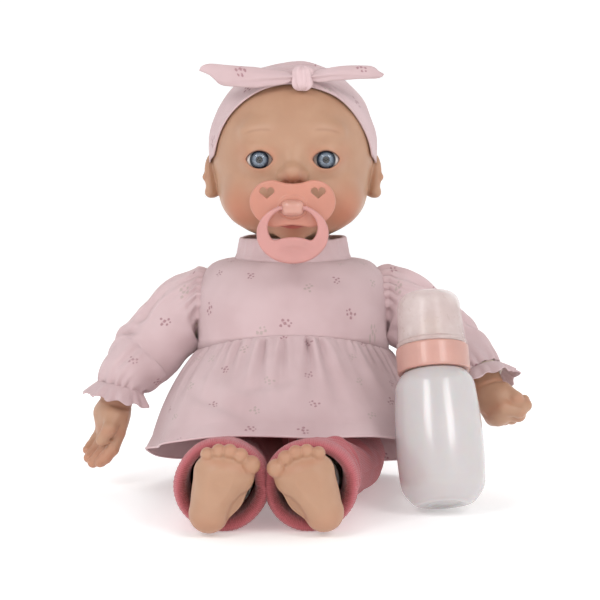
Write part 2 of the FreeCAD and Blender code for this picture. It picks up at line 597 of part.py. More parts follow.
cell_y = f"({case_rear_y} - case_wall/2 - cell_gap - cell_rad)"
cells, contacts = [], []
for number in (-1, 0, 1):
    height = f"({door_z} + {number}*cell_step)"
    cells.append(rod(f"cell_{number + 1}", ("0 - cell_long/2", cell_y, height), "cell_rad",
                     "cell_long", ("0", "90", "0")))
    for end in (-1, 1):
        corner = "cell_long/2" if end > 0 else "0 - cell_long/2 - contact_long"
        contacts.append(rod(f"contact_{number + 1}_{end + 1}", (corner, cell_y, height),
                            "contact_rad", "contact_long", ("0", "90", "0")))
keep("batteries", join("batteries", *cells))
keep("battery_contacts", join("battery_contacts", *contacts))

board = padded("board_plate", "XY_Plane",
               rectangle("case_wide - 2*case_wall - 2*board_gap",
                         "case_tall - 4*screw_in - 2*board_gap"), "board_thick")
place(board, ("0", f"{cell_y} - cell_rad - board_gap", "case_mid_z"), lie_back)
keep("circuit_board", board)
speaker = turned("speaker", [("0", "0"), ("speaker_rad", "0"),
                             ("speaker_rad", "speaker_deep/3"),
                             ("speaker_rad/2", "speaker_deep/2"),
                             ("speaker_rad/2", "speaker_deep"), ("0", "speaker_deep")])
keep("speaker", place(speaker, ("0", "case_front_y + case_wall", "case_mid_z"), lie_front))

# dress on the trunk


def dress_form(name, grow):
    return trunk(name, f"dress_gap + {grow}", "seam_z", "cloth_gap + 0.3", ("full",), False)


throat_room = rod("throat_room", ("0", "collar_mid_y", "seam_z"),
                  "collar_top_rad - dress_thick", "head_tall")
collar_room = rod("collar_room", ("0", "collar_mid_y", "collar_low_z"), "yoke_wide", "head_tall")
yoke_inside = dress_form("yoke_inside", "0")
keep("dress_yoke", cut("dress_yoke", dress_form("yoke_outside", "dress_thick"),
                       join("yoke_openings", yoke_inside, throat_room, collar_room)))
collar_tall = "(collar_top_z - collar_low_z)"
collar = turned("dress_collar", [("collar_low_rad - dress_thick", "0"), ("collar_low_rad", "0"),
                                 ("collar_top_rad", collar_tall),
                                 ("collar_top_rad - dress_thick", collar_tall)])
keep("dress_collar", place(collar, ("0", "collar_mid_y", "collar_low_z")))


def bell(name, inset, spread):
    """A flared bell from the yoke seam to the tilted hem."""
    top = bind(make("Ellipse", f"{name}_top"), MajorRadius=f"seam_wide/2 - {inset}",
               MinorRadius=f"seam_deep/2 - {inset}")
    place(top, ("0", "seam_mid_y", "seam_z"))
    low = bind(make("Ellipse", f"{name}_low"), MajorRadius=f"hem_wide/2 - {inset} + {spread}",
               MinorRadius=f"hem_deep/2 - {inset} + {spread}")
    place(low, ("0", f"hem_mid_y - 4*({spread})*sin(hem_tilt)",
                f"hem_mid_z - 4*({spread})*cos(hem_tilt)"), ("0", "0", "0 - hem_tilt"))
    flare = make("Loft", name)
    flare.Sections = [top, low]
    flare.Solid = True
    flare.Ruled = True
    return flare


keep("dress_skirt", cut("dress_skirt", bell("skirt_outside", "0", "0"),
                        bell("skirt_inside", "dress_thick", "0.01")))
tape_block = block("tape_block", ("0 - tape_wide/2",
                                  "back_full_y + back_full_deep/2 - tape_in", "seam_z + 1"),
                   ("tape_wide", "back_full_deep", "tape_long"))
keep("dress_tape", common("dress_tape", tape_block, yoke_inside))

# arms, sleeves and hands


def hand_turn(side, spin="0"):
    sign = 1 if side == "left" else -1
    return (spin, f"{sign}*{side}_hand_out", f"0 - {side}_hand_fore")


def on_hand(thing, side, local=("0", "0", "0"), turn=("0", "0", "0")):
    """Places thing in the hand's own frame: its origin at the wrist, its -Z to the fingertips."""
    spots = arm_spots[side]["wrist"]
    spin = hand_turn(side)
    outer = (f"placement(vector({'; '.join(f'({cell(part)})' for part in spots)}); "
             f"rotation({'; '.join(f'({cell(part)})' for part in spin)}))")
    inner = (f"placement(vector({'; '.join(f'({cell(part)})' for part in local)}); "
             f"rotation({'; '.join(f'({cell(part)})' for part in turn)}))")
    thing.setExpression("Placement", f"{outer} * {inner}")
    return thing


def arm_form(name, side, shrink, shoulder_radius):
    """Shoulder ball, upper arm, elbow, forearm and cuff as one soft form."""
    spots = arm_spots[side]
    inset = f"({shrink})"
    return join(
        name, ball(f"{name}_shoulder", spots["shoulder"], shoulder_radius),
        bone(f"{name}_upper", spots["shoulder"], spots["elbow"], f"{shoulder_radius} - 1",
             f"elbow_ball - {inset} - 0.5"),
        ball(f"{name}_elbow", spots["elbow"], f"elbow_ball - {inset}"),
        bone(f"{name}_lower", spots["elbow"], spots["cuff"], f"elbow_ball - {inset} - 0.5",
             f"cuff_ball - {inset} - 0.5"),
        ball(f"{name}_cuff", spots["cuff"], f"cuff_ball - {inset}"))


def below_cuff(name, side, height):
    """Everything past a plane across the wrist."""
    tall = "palm_long + finger_long + 4*frill_rad"
    return on_hand(bind(make("Cylinder", name), Radius="6*frill_rad", Height=tall), side,
                   ("0", "0", f"{height} - ({tall})"))


def along_hand(name, side, radius, low, tall):
    return on_hand(bind(make("Cylinder", name), Radius=radius, Height=tall), side,
                   ("0", "0", low))


tube_rad = "(stub_rad + cloth_gap + cloth_thick)"
for side in arm_spots:
    stub_room = join(f"stub_room_{side}",
                     along_hand(f"stub_bore_{side}", side, "stub_rad + cloth_gap",
                                "0 - 2*stub_long", "3*stub_long + cloth_gap"),
                     along_hand(f"stub_lip_room_{side}", side,
                                "stub_rad + stub_lip + cloth_gap",
                                "stub_long*0.75 - cloth_gap", "stub_long/4 + 2*cloth_gap"))
    soft = cut(f"arm_soft_{side}", arm_form(f"arm_stuffed_{side}", side, "arm_inset", "arm_ball"),
               below_cuff(f"arm_end_{side}", side, "frill_top/2 + 4*tie_rad"))
    tube = along_hand(f"arm_tube_{side}", side, tube_rad, "frill_top/2", "stub_long - 1")
    keep(f"arm_cloth_{side}", cut(f"arm_cloth_{side}", join(f"arm_whole_{side}", soft, tube),
                                  stub_room))
    tie = on_hand(bind(make("Torus", f"arm_tie_{side}"), Radius1=f"{tube_rad} + tie_rad",
                       Radius2="tie_rad"), side, ("0", "0", "frill_top/2 + 1.2*tie_rad"))
    keep(f"arm_tie_{side}", tie)
    keep(f"sleeve_{side}", carve(
        f"sleeve_{side}", arm_form(f"sleeve_form_{side}", side, "0", "shoulder_ball"),
        below_cuff(f"sleeve_end_{side}", side, "frill_top"),
        along_hand(f"tie_space_{side}", side, f"{tube_rad} + 3*tie_rad", "0", "stub_long*1.3"),
        arm_form(f"arm_space_{side}", side, "sleeve_thick",
                 "shoulder_ball - shoulder_wall")))
    frill = turned(f"sleeve_frill_{side}",
                   [(f"{tube_rad} + 3*tie_rad + frill_thick", "frill_top"),
                    ("frill_rad", "frill_top - frill_tall"),
                    ("frill_rad - frill_thick", "frill_top - frill_tall"),
                    (f"{tube_rad} + 3*tie_rad", "frill_top - frill_thick"),
                    (f"{tube_rad} + 3*tie_rad", "frill_top")])
    keep(f"sleeve_frill_{side}", on_hand(frill, side))

    # the vinyl hand: a stub with a lip inside the cloth, a palm, four fingers and a thumb
    spin = f"{side}_hand_turn" if side == "right" else f"0 - {side}_hand_turn"
    bend = f"{side}_curl"
    mirror = -1 if side == "right" else 1
    palm_z = "(0 - palm_long/2 + 2)"
    knuckle_z = "(0 - palm_long + 6)"
    pieces = [
        along_hand(f"hand_stub_{side}", side, "stub_rad", "0 - palm_long/4",
                   "palm_long/4 + stub_long"),
        along_hand(f"hand_lip_{side}", side, "stub_rad + stub_lip", "stub_long*0.75",
                   "stub_long/4"),
        on_hand(bind(make("Ellipsoid", f"palm_{side}"), Radius1="palm_long/2",
                     Radius2="palm_wide/2", Radius3="palm_thick/2"), side,
                ("0", "0", palm_z), (spin, "0", "0"))]
    for finger in range(4):
        offset = f"({finger} - 1.5)*palm_wide/4.6"
        digit = bind(make("Ellipsoid", f"finger_{side}_{finger}"), Radius1="finger_long/2",
                     Radius2="palm_wide/8", Radius3="palm_thick/4")
        on_hand(digit, side, ("0", "0", knuckle_z), (spin, "0", bend))
        digit.setExpression("Placement", digit.ExpressionEngine[0][1] + " * placement(vector("
                            f"{cell(offset)}; 0; 0 - {cell('finger_long/2')} + 3); "
                            f"rotation(0; {(1.5 - finger) * 4}; 0))")
        pieces.append(digit)
    thumb = bind(make("Ellipsoid", f"thumb_{side}"), Radius1="thumb_long/2",
                 Radius2="palm_wide/7", Radius3="palm_thick/4")
    on_hand(thumb, side, ("0", "0", palm_z), (spin, "0", "0"))
    thumb.setExpression("Placement", thumb.ExpressionEngine[0][1] + " * placement(vector("
                        f"{mirror}*{cell('palm_wide/2.6')}; 0 - {cell('palm_thick/4')}; 0 - 6); "
                        f"rotation(0; {-24 * mirror}; 0))")
    pieces.append(thumb)
    keep(f"hand_{side}", join(f"hand_{side}", *pieces))

# trousers, legs and feet


def leg_pieces(name, side, inset, beyond="0"):
    """Hip roll, thigh, knee and calf, smaller by inset all round. The calf's cone is drawn out
    past the leg's end by the share beyond of its length."""
    sign = -1 if side == "left" else 1
    small = f"({inset})"
    reach = f"(hip_outer - hip_inner - 2*{small})"
    corner = f"hip_inner + {small}" if sign > 0 else f"0 - hip_inner - {small} - {reach}"
    knee = (f"{side}_calf_x", "calf_top_y", "calf_top_z")
    end = (f"{side}_leg_end_x", "cuff_y", "cuff_z")
    far = [f"({b} + {beyond}*({b} - {a}))" for a, b in zip(knee, end)]
    behind = f"(calf_top_rad - knee_step - {small})"
    return [
        rod(f"{name}_hip", (corner, "hip_y", "hip_z"), f"hip_rad - {small}", reach,
            ("0", "90", "0")),
        bone(f"{name}_thigh", (f"{sign}*thigh_x", "hip_y", "hip_z"), knee,
             f"thigh_rad - {small}", f"thigh_rad - thigh_taper - {small}"),
        ball(f"{name}_knee", knee, f"calf_top_rad - {small}"),
        bone(f"{name}_calf", knee, far, behind,
             f"leg_end_rad - {small} + {beyond}*(leg_end_rad - {small} - {behind})")]


def past(name, y):
    """Everything in front of a plane across the ankle."""
    return block(name, ("0 - 2*belly_wide", f"({y}) - belly_tall", "0 - belly_tall"),
                 ("4*belly_wide", "belly_tall", "2*belly_tall"))


def along_shin(name, side, radius, start_y, end_y):
    """A rod from start_y back to end_y round the shin's swivel axis."""
    return rod(name, (f"{side}_foot_x", start_y, "shin_z"), radius,
               f"({end_y}) - ({start_y})", lie_front)


for side in ("left", "right"):
    shin_room = join(f"shin_room_{side}",
                     along_shin(f"shin_bore_{side}", side, "shin_rad + cloth_gap",
                                "cuff_y - leg_end_rad", "shin_top_y + cloth_gap"),
                     along_shin(f"shin_lip_room_{side}", side, "shin_rad + shin_lip + cloth_gap",
                                "shin_top_y - 2*shin_lip - cloth_gap", "shin_top_y + cloth_gap"))
    stuffed = leg_pieces(f"leg_stuffed_{side}", side, "leg_cloth + 1")
    thigh = cut(f"thigh_soft_{side}", join(f"stuffed_{side}", *stuffed),
                past(f"thigh_end_{side}", "thigh_end_y"))
    tube = along_shin(f"thigh_tube_{side}", side, "shin_rad + cloth_gap + cloth_thick",
                      "thigh_end_y - 4*tie_rad", "shin_top_y")
    keep(f"leg_cloth_{side}", cut(f"leg_cloth_{side}", join(f"leg_whole_{side}", thigh, tube),
                                  shin_room))
    tie = hoop(f"leg_tie_{side}", (f"{side}_foot_x", "thigh_end_y - 2*tie_rad", "shin_z"),
               "shin_rad + cloth_gap + cloth_thick + tie_rad", "tie_rad", lie_front)
    keep(f"leg_tie_{side}", tie)
    keep(f"trouser_leg_{side}", cut(
        f"trouser_leg_{side}",
        join(f"trouser_form_{side}", *leg_pieces(f"trouser_{side}", side, "0")),
        join(f"leg_space_{side}", *leg_pieces(f"leg_inner_{side}", side, "leg_cloth",
                                              "mouth_share"))))

    # the vinyl lower leg: a lipped stub, an ankle, a sole with its heel and five toes
    tilt = "left_foot_tilt" if side == "left" else "0 - right_foot_tilt"
    mid = (f"{side}_foot_x", "foot_mid_y", "foot_mid_z")
    inward = 1 if side == "left" else -1

    def on_foot(thing, local, turn=("0", "0", "0")):
        outer = (f"placement(vector({'; '.join(f'({cell(part)})' for part in mid)}); "
                 f"rotation(0; {cell(tilt)}; 0))")
        inner = (f"placement(vector({'; '.join(f'({cell(part)})' for part in local)}); "
                 f"rotation({'; '.join(f'({cell(part)})' for part in turn)}))")
        thing.setExpression("Placement", f"{outer} * {inner}")
        return thing

    sole = bind(make("Ellipsoid", f"sole_{side}"), Radius1="foot_long/2 - toe_rad",
                Radius2="foot_wide/2", Radius3="foot_thick/2")
    on_foot(sole, ("0", "0", "0 - toe_rad/2"))
    pieces = [along_shin(f"shin_{side}", side, "shin_rad", "foot_mid_y", "shin_top_y"),
              along_shin(f"shin_lip_{side}", side, "shin_rad + shin_lip",
                         "shin_top_y - 2*shin_lip", "shin_top_y"), sole]
    for toe in range(5):
        across = f"{inward}*foot_wide*({(1.95 - toe) * 0.19:.3f})"
        size = "toe_rad" if toe else "big_toe_rad"
        up = f"foot_long/2 - {size} - foot_long*{0.008 * toe * toe:.3f}"
        digit = bind(make("Sphere", f"toe_{side}_{toe}"), Radius=size)
        pieces.append(on_foot(digit, (across, "0", up)))
    keep(f"foot_{side}", cut(f"foot_{side}", join(f"foot_whole_{side}", *pieces),
                             halfspace(f"foot_floor_{side}", ("0", "0", "floor_gap"),
                                       ("0", "0", "0"))))

# the trousers' seat wraps the bottom of the trunk and has the flat face that rests on a surface
seat_outside = trunk("seat_outside", "seat_gap + seat_cloth", "0", "cloth_gap", ("seat",), False)
seat_inside = trunk("seat_inside", "seat_gap", "seat_cloth", "cloth_gap + seat_cloth", ("seat",),
                    False)
seat_above = block("seat_above", ("0 - belly_wide", "0 - belly_deep", "seat_top"),
                   ("2*belly_wide", "3*belly_deep", "belly_tall"))
keep("trouser_seat", cut("trouser_seat", seat_outside, join("seat_rooms", seat_inside,
                                                            seat_above)))

# pacifier

shield_back = "(shield_y + shield_thick)"
lobes = [slab(f"lobe_{side}", (f"{sign}*(shield_wide/2 - shield_lobe)", shield_back,
                               f"{mouth_z} + shield_up"), "shield_lobe",
              "shield_tall/2 - shield_up/2", "shield_thick", lie_back)
         for side, sign in (("left", -1), ("right", 1))]
waist = slab("shield_waist", ("0", shield_back, f"{mouth_z} + shield_up - 0.8"),
             "shield_wide/2 - shield_lobe/2", "shield_tall/2 - 2", "shield_thick", lie_back)
hearts = []
for side, sign in (("left", -1), ("right", 1)):
    centre = (f"{sign}*heart_side", f"{shield_back} + 1", f"{mouth_z} + heart_up")
    for half in (-1, 1):
        hearts.append(slab(f"heart_{side}_{half + 1}",
                           (f"{centre[0]} + {half}*heart_wide/4.5", centre[1], centre[2]),
                           "heart_wide/3", "heart_wide/5", "shield_thick + 2",
                           ("0", f"{half}*38", "90")))
keep("pacifier_shield", cut("pacifier_shield", join("shield_whole", *lobes, waist),
                            join("shield_hearts", *hearts)))
button = egg("button_dome", ("0", "shield_y", mouth_z), "button_wide/2", "button_out",
             "button_tall/2")
button_back = block("button_back", ("0 - button_wide", "shield_y", f"{mouth_z} - button_wide"),
                    ("2*button_wide", "4*shield_thick", "2*button_wide"))
pin_bore = rod("pin_bore", ("0 - button_wide", "ring_pivot_y", mouth_z), "ring_pin + pin_gap",
               "2*button_wide", ("0", "90", "0"))
keep("pacifier_button", cut("pacifier_button", button, join("button_rooms", button_back,
                                                            pin_bore)))
teat = turned("pacifier_teat", [("0", "0"), ("teat_rad", "0"), ("teat_rad", "2"),
                                ("teat_neck", "4"), ("teat_neck", "teat_long/3"),
                                ("teat_rad", "teat_long*0.55"), ("teat_rad", "teat_long*0.85"),
                                ("teat_rad*0.6", "teat_long"), ("magnet_rad", "teat_long"),
                                ("magnet_rad", "teat_long - magnet_long"),
                                ("0", "teat_long - magnet_long")])
keep("pacifier_teat", place(teat, ("0", shield_back, mouth_z), lie_front))
keep("pacifier_magnet", rod("pacifier_magnet", ("0", f"{shield_back} + teat_long - magnet_long",
                                                mouth_z), "magnet_rad", "magnet_long",
                            lie_front))
ring_mid_z = f"({mouth_z} + ring_pin + 1.2 - ring_tall/2)"
ring_back = "(ring_pivot_y + ring_thick/2)"
ring_outer = slab("ring_outer", ("0", ring_back, ring_mid_z), "ring_wide/2", "ring_tall/2",
                  "ring_thick", lie_back)
ring_hole = slab("ring_hole", ("0", f"{ring_back} + 1",
                               f"{ring_mid_z} + ring_foot/2 - ring_side/2"),
                 "ring_wide/2 - ring_side", "ring_tall/2 - ring_foot/2 - ring_side/2 + 1",
                 "ring_thick + 2", lie_back)
button_slot = block("button_slot", ("0 - button_wide/2 - ring_gap", "ring_pivot_y - ring_thick",
                                    f"{mouth_z} - button_tall/2 - 3"),
                    ("button_wide + 2*ring_gap", "2*ring_thick", "2*button_tall"))
pins = [rod(f"ring_pin_{side}", (f"{corner}", "ring_pivot_y", mouth_z), "ring_pin",
            "ring_gap + 2.5", ("0", "90", "0"))
        for side, corner in (("left", "0 - button_wide/2 - ring_gap - 0.5"),
                             ("right", "button_wide/2 - 2"))]
keep("pacifier_ring", join("pacifier_ring", cut("ring_band", ring_outer,
                                                join("ring_rooms", ring_hole, button_slot)),
                           *pins))

# bottle

bottle_lift = ("((bottle_rad - bottle_round)*sin(bottle_back) + bottle_round*(1 - "
               "cos(bottle_back)) + 0.4)")
bottle_turn = ("0", "0 - bottle_side", "0 - bottle_back")


def on_bottle(thing, up="0"):
    outer = (f"placement(vector({cell('bottle_x')}; {cell('bottle_y')}; {cell(bottle_lift)}); "
             f"rotation(0; {cell(bottle_turn[1])}; {cell(bottle_turn[2])}))")
    thing.setExpression("Placement", f"{outer} * placement(vector(0; 0; {cell(up)}); "
                        "rotation(0; 0; 0))")
    return thing


neck_start = "(bottle_tall - 0.5)"
neck_end = "(bottle_tall + bottle_neck_tall)"
body_outside = turned("bottle_outside", [("0", "0"), ("bottle_rad", "0"),
                                         ("bottle_rad", "bottle_tall"), ("0", "bottle_tall")],
                      (("bottle_rad", "0", "bottle_round"),
                       ("bottle_rad", "bottle_tall", "bottle_shoulder")))
body_inside = turned("bottle_inside", [("0", "bottle_wall"),
                                       ("bottle_rad - bottle_wall", "bottle_wall"),
                                       ("bottle_rad - bottle_wall", "bottle_tall - bottle_wall"),
                                       ("0", "bottle_tall - bottle_wall")],
                     (("bottle_rad - bottle_wall", "bottle_wall", "bottle_round - bottle_wall"),
                      ("bottle_rad - bottle_wall", "bottle_tall - bottle_wall",
                       "bottle_shoulder - bottle_wall")))
neck_outside = bind(make("Cylinder", "bottle_neck_outside"), Radius="bottle_neck",
                    Height=f"{neck_end} - bottle_tall + bottle_shoulder")
place(neck_outside, ("0", "0", "bottle_tall - bottle_shoulder"))
neck_inside = bind(make("Cylinder", "bottle_neck_inside"), Radius="bottle_neck - bottle_wall",
                   Height="bottle_neck_tall + 4*bottle_wall")
place(neck_inside, ("0", "0", "bottle_tall - 2*bottle_wall"))
keep("bottle_body", on_bottle(cut("bottle_body", join("bottle_solid", body_outside, neck_outside),
                                  join("bottle_hollow", body_inside, neck_inside))))
milk = turned("bottle_milk", [("0", "bottle_wall"), ("bottle_rad - bottle_wall", "bottle_wall"),
                              ("bottle_rad - bottle_wall", "bottle_tall - bottle_wall"),
                              ("0", "bottle_tall - bottle_wall")],
              (("bottle_rad - bottle_wall", "bottle_wall", "bottle_round - bottle_wall"),
               ("bottle_rad - bottle_wall", "bottle_tall - bottle_wall",
                "bottle_shoulder - bottle_wall")))
keep("bottle_milk", on_bottle(milk))
collar_start = "(bottle_tall + 0.2)"
cap_base = f"({collar_start} + screw_cap_tall)"
seat_rad = "(screw_cap_rad - cap_wall - ring_fit - 0.6)"
screw_cap = turned("bottle_collar", [
    ("bottle_neck", collar_start), ("screw_cap_rad", collar_start),
    ("screw_cap_rad", cap_base), (seat_rad, cap_base),
    (seat_rad, f"{cap_base} + cap_seat"), ("nipple_rad + 5", f"{cap_base} + cap_seat"),
    ("nipple_rad + 5", f"{neck_end} + 1.5"), ("bottle_neck", f"{neck_end} + 1.5")])
keep("bottle_collar", on_bottle(screw_cap))
nipple = turned("bottle_teat", [
    ("0", neck_end), ("bottle_neck - 0.2", neck_end), ("bottle_neck - 0.2", f"{neck_end} + 1.5"),
    ("nipple_rad + 4.8", f"{neck_end} + 1.5"), ("nipple_rad + 4.8", f"{cap_base} + cap_seat"),
    ("nipple_rad", f"{cap_base} + cap_seat + 4"), ("nipple_rad - 1.5", f"{neck_end} + nipple_tall"),
    ("magnet_rad", f"{neck_end} + nipple_tall + 1.5"),
    ("magnet_rad", f"{neck_end} + nipple_tall + 1.5 - magnet_long"),
    ("0", f"{neck_end} + nipple_tall + 1.5 - magnet_long")])
keep("bottle_teat", on_bottle(nipple))
bottle_magnet = bind(make("Cylinder", "bottle_magnet"), Radius="magnet_rad",
                     Height="magnet_long")
keep("bottle_magnet", on_bottle(bottle_magnet, f"{neck_end} + nipple_tall + 1.5 - magnet_long"))
cap_out = turned("cap_outside", [("0", cap_base), ("screw_cap_rad - 0.5", cap_base),
                                 ("cap_top_rad", f"{cap_base} + cap_tall"),
                                 ("0", f"{cap_base} + cap_tall")],
                 (("cap_top_rad", f"{cap_base} + cap_tall", "cap_round"),))
cap_in = turned("cap_inside", [("0", cap_base), (f"{seat_rad} + ring_fit", cap_base),
                               (f"{seat_rad} + ring_fit", f"{cap_base} + cap_seat + 1"),
                               ("cap_top_rad - cap_wall", f"{cap_base} + cap_tall - cap_wall"),
                               ("0", f"{cap_base} + cap_tall - cap_wall")],
                (("cap_top_rad - cap_wall", f"{cap_base} + cap_tall - cap_wall",
                  "cap_round - cap_wall"),))
keep("bottle_cap", on_bottle(cut("bottle_cap", cap_out, cap_in)))

# check and write

doc.recompute()
failed = [thing.Name for thing in doc.Objects if {"Invalid", "Error"} & set(thing.State)]
for name, thing in sub_parts.items():
    shape = thing.Shape
    if shape.isNull() or not shape.isValid() or not shape.Solids:
        failed.append(name)
if failed:
    raise RuntimeError("these objects failed: " + ", ".join(failed))
os.makedirs("parts", exist_ok=True)
for name, thing in sub_parts.items():
    thing.Shape.exportStep(f"parts/{name}.step")
print(len(sub_parts), "sub-parts written")
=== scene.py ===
import math
import bpy
import numpy as np
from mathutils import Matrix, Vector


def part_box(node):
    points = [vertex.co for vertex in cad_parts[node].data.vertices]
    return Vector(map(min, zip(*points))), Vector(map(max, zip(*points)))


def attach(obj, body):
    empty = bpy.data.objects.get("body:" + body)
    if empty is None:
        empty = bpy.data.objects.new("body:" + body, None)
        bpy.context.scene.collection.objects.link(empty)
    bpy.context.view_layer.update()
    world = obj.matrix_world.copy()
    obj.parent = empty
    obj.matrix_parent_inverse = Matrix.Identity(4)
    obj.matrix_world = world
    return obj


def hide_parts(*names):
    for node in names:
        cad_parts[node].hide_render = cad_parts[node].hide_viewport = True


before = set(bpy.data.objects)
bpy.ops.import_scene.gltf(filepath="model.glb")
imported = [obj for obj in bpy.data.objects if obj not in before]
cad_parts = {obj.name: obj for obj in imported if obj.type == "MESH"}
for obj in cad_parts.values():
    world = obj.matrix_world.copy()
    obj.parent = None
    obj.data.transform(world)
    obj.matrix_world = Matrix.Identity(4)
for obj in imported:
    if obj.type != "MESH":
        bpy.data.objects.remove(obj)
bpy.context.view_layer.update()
import openvdb

mm = 0.001


# shader expressions: a wrapped socket that does sums, and one way to make every other node

class Signal:
    def __init__(self, finish, socket):
        self.finish = finish
        self.socket = socket

    def maths(self, operation, first, second=None):
        sockets = {0: first} if second is None else {0: first, 1: second}
        return self.finish.node("ShaderNodeMath", {"operation": operation}, sockets)

    def __add__(self, other):
        return self.maths("ADD", self, other)

    def __radd__(self, other):
        return self.maths("ADD", other, self)

    def __sub__(self, other):
        return self.maths("SUBTRACT", self, other)

    def __rsub__(self, other):
        return self.maths("SUBTRACT", other, self)

    def __mul__(self, other):
        return self.maths("MULTIPLY", self, other)

    def __rmul__(self, other):
        return self.maths("MULTIPLY", other, self)

    def __truediv__(self, other):
        return self.maths("DIVIDE", self, other)

    def __pow__(self, other):
        return self.maths("POWER", self, other)

    def least(self, other):
        return self.maths("MINIMUM", self, other)

    def sine(self):
        return self.maths("SINE", self)

    def cosine(self):
        return self.maths("COSINE", self)

    def between(self, low, high):
        # 0 below low, 1 above high, smooth in between
        return self.finish.node("ShaderNodeMapRange", {"interpolation_type": "SMOOTHSTEP"},
                                {"Value": self, "From Min": low, "From Max": high})


def tint(red, green, blue):
    # a screen colour of 0 to 255 as linear light
    return tuple(((part / 255 + 0.055) / 1.055) ** 2.4 for part in (red, green, blue)) + (1.0,)


class Finish:
    # a Principled material whose constant values are set on its sockets
    def __init__(self, name, **fixed):
        self.material = bpy.data.materials.new(name)
        self.material.use_nodes = True
        self.tree = self.material.node_tree
        self.shader = self.tree.nodes["Principled BSDF"]
        for label, value in fixed.items():
            self.shader.inputs[label.replace("_", " ")].default_value = value

    def node(self, kind, settings=None, sockets=None, output=0):
        made = self.tree.nodes.new(kind)
        for label, value in (settings or {}).items():
            if label == "stops":
                ramp = made.color_ramp.elements
                while len(ramp) < len(value):
                    ramp.new(0.5)
                for stop, (place, colour) in zip(ramp, value):
                    stop.position = place
                    stop.color = colour
            else:
                setattr(made, label, value)
        for label, value in (sockets or {}).items():
            if isinstance(value, Signal):
                self.tree.links.new(value.socket, made.inputs[label])
            else:
                made.inputs[label].default_value = value
        return Signal(self, made.outputs[output])

    def feed(self, label, signal):
        self.tree.links.new(signal.socket, self.shader.inputs[label])

    def mix(self, mask, first, second):
        # mix colours: sockets 6 and 7 are A and B, output 2 is the colour
        return self.node("ShaderNodeMix", {"data_type": "RGBA"}, {0: mask, 6: first, 7: second}, 2)

    def place(self):
        return self.node("ShaderNodeTexCoord", output=3)

    def noise(self, scale, detail=3.0, where=None, rough=0.5):
        sockets = {"Vector": where or self.place(), "Scale": scale, "Detail": detail, "Roughness": rough}
        return self.node("ShaderNodeTexNoise", None, sockets)

    def split(self, vector):
        return [self.node("ShaderNodeSeparateXYZ", None, {"Vector": vector}, axis) for axis in range(3)]

    def bump(self, height, depth, strength=1.0):
        # depth in metres
        self.feed("Normal", self.node("ShaderNodeBump", None,
                                      {"Height": height, "Distance": depth, "Strength": strength}))


# shape helpers, in millimetres

def egg(p, at, size):
    q = [(p[i] - at[i]) / size[i] for i in range(3)]
    far = np.sqrt(q[0] ** 2 + q[1] ** 2 + q[2] ** 2)
    steep = np.sqrt(sum((q[i] / size[i]) ** 2 for i in range(3)))
    return far * (far - 1) / np.maximum(steep, 1e-6)


def ball(p, at, size):
    return np.sqrt((p[0] - at[0]) ** 2 + (p[1] - at[1]) ** 2 + (p[2] - at[2]) ** 2) - size


def limb(p, start, end, startSize, endSize):
    # a tapering rod with round ends
    run = np.subtract(end, start)
    share = sum((p[i] - start[i]) * run[i] for i in range(3)) / max(float(run @ run), 1e-9)
    share = np.clip(share, 0, 1)
    away = [p[i] - start[i] - share * run[i] for i in range(3)]
    return np.sqrt(away[0] ** 2 + away[1] ** 2 + away[2] ** 2) - (startSize + (endSize - startSize)
            * share)


def melt(a, b, soft):
    # union with a fillet
    h = np.clip(0.5 + 0.5 * (b - a) / soft, 0, 1)
    return b + (a - b) * h - soft * h * (1 - h)


def scoop(a, b, soft):
    # a with b hollowed out of it
    return -melt(-a, b, soft)


def spun(p, at, yaw=0.0, pitch=0.0, roll=0.0):
    # p in a frame that stands at a point and is turned by roll about X, pitch about Y, then yaw about Z
    turn = turning(yaw, pitch, roll)
    away = [p[i] - at[i] for i in range(3)]
    return [sum(turn[j, i] * away[j] for j in range(3)) for i in range(3)]


def turning(yaw, pitch, roll):
    a, b, c = (math.radians(angle) for angle in (yaw, pitch, roll))
    aboutZ = np.array([[math.cos(a), -math.sin(a), 0], [math.sin(a), math.cos(a), 0], [0, 0, 1]])
    aboutY = np.array([[math.cos(b), 0, math.sin(b)], [0, 1, 0], [-math.sin(b), 0, math.cos(b)]])
    aboutX = np.array([[1, 0, 0], [0, math.cos(c), -math.sin(c)], [0, math.sin(c), math.cos(c)]])
    return aboutZ @ aboutY @ aboutX


def smooth(value, low, high):
    share = np.clip((value - low) / (high - low), 0, 1)
    return share * share * (3 - 2 * share)


def finished(name, points, faces, finish, uv=None):
    # a smooth-shaded mesh in metres from points in millimetres
    mesh = bpy.data.meshes.new(name)
    mesh.from_pydata([], [], [])
    mesh.vertices.add(len(points))
    mesh.vertices.foreach_set("co", (np.asarray(points, float) * mm).ravel())
    mesh.loops.add(faces.size)
    mesh.loops.foreach_set("vertex_index", faces.ravel().astype(np.int32))
    mesh.polygons.add(len(faces))
    mesh.polygons.foreach_set("loop_start", np.arange(0, faces.size, faces.shape[1], dtype=np.int32))
    mesh.update(calc_edges=True)
    mesh.validate()
    mesh.polygons.foreach_set("use_smooth", np.ones(len(mesh.polygons), bool))
    if uv is not None:
        layer = mesh.uv_layers.new(name="cut")
        layer.data.foreach_set("uv", (np.asarray(uv, float) * mm).ravel())
    thing = bpy.data.objects.new(name, mesh)
    bpy.context.scene.collection.objects.link(thing)
    mesh.materials.append(finish.material)
    return thing


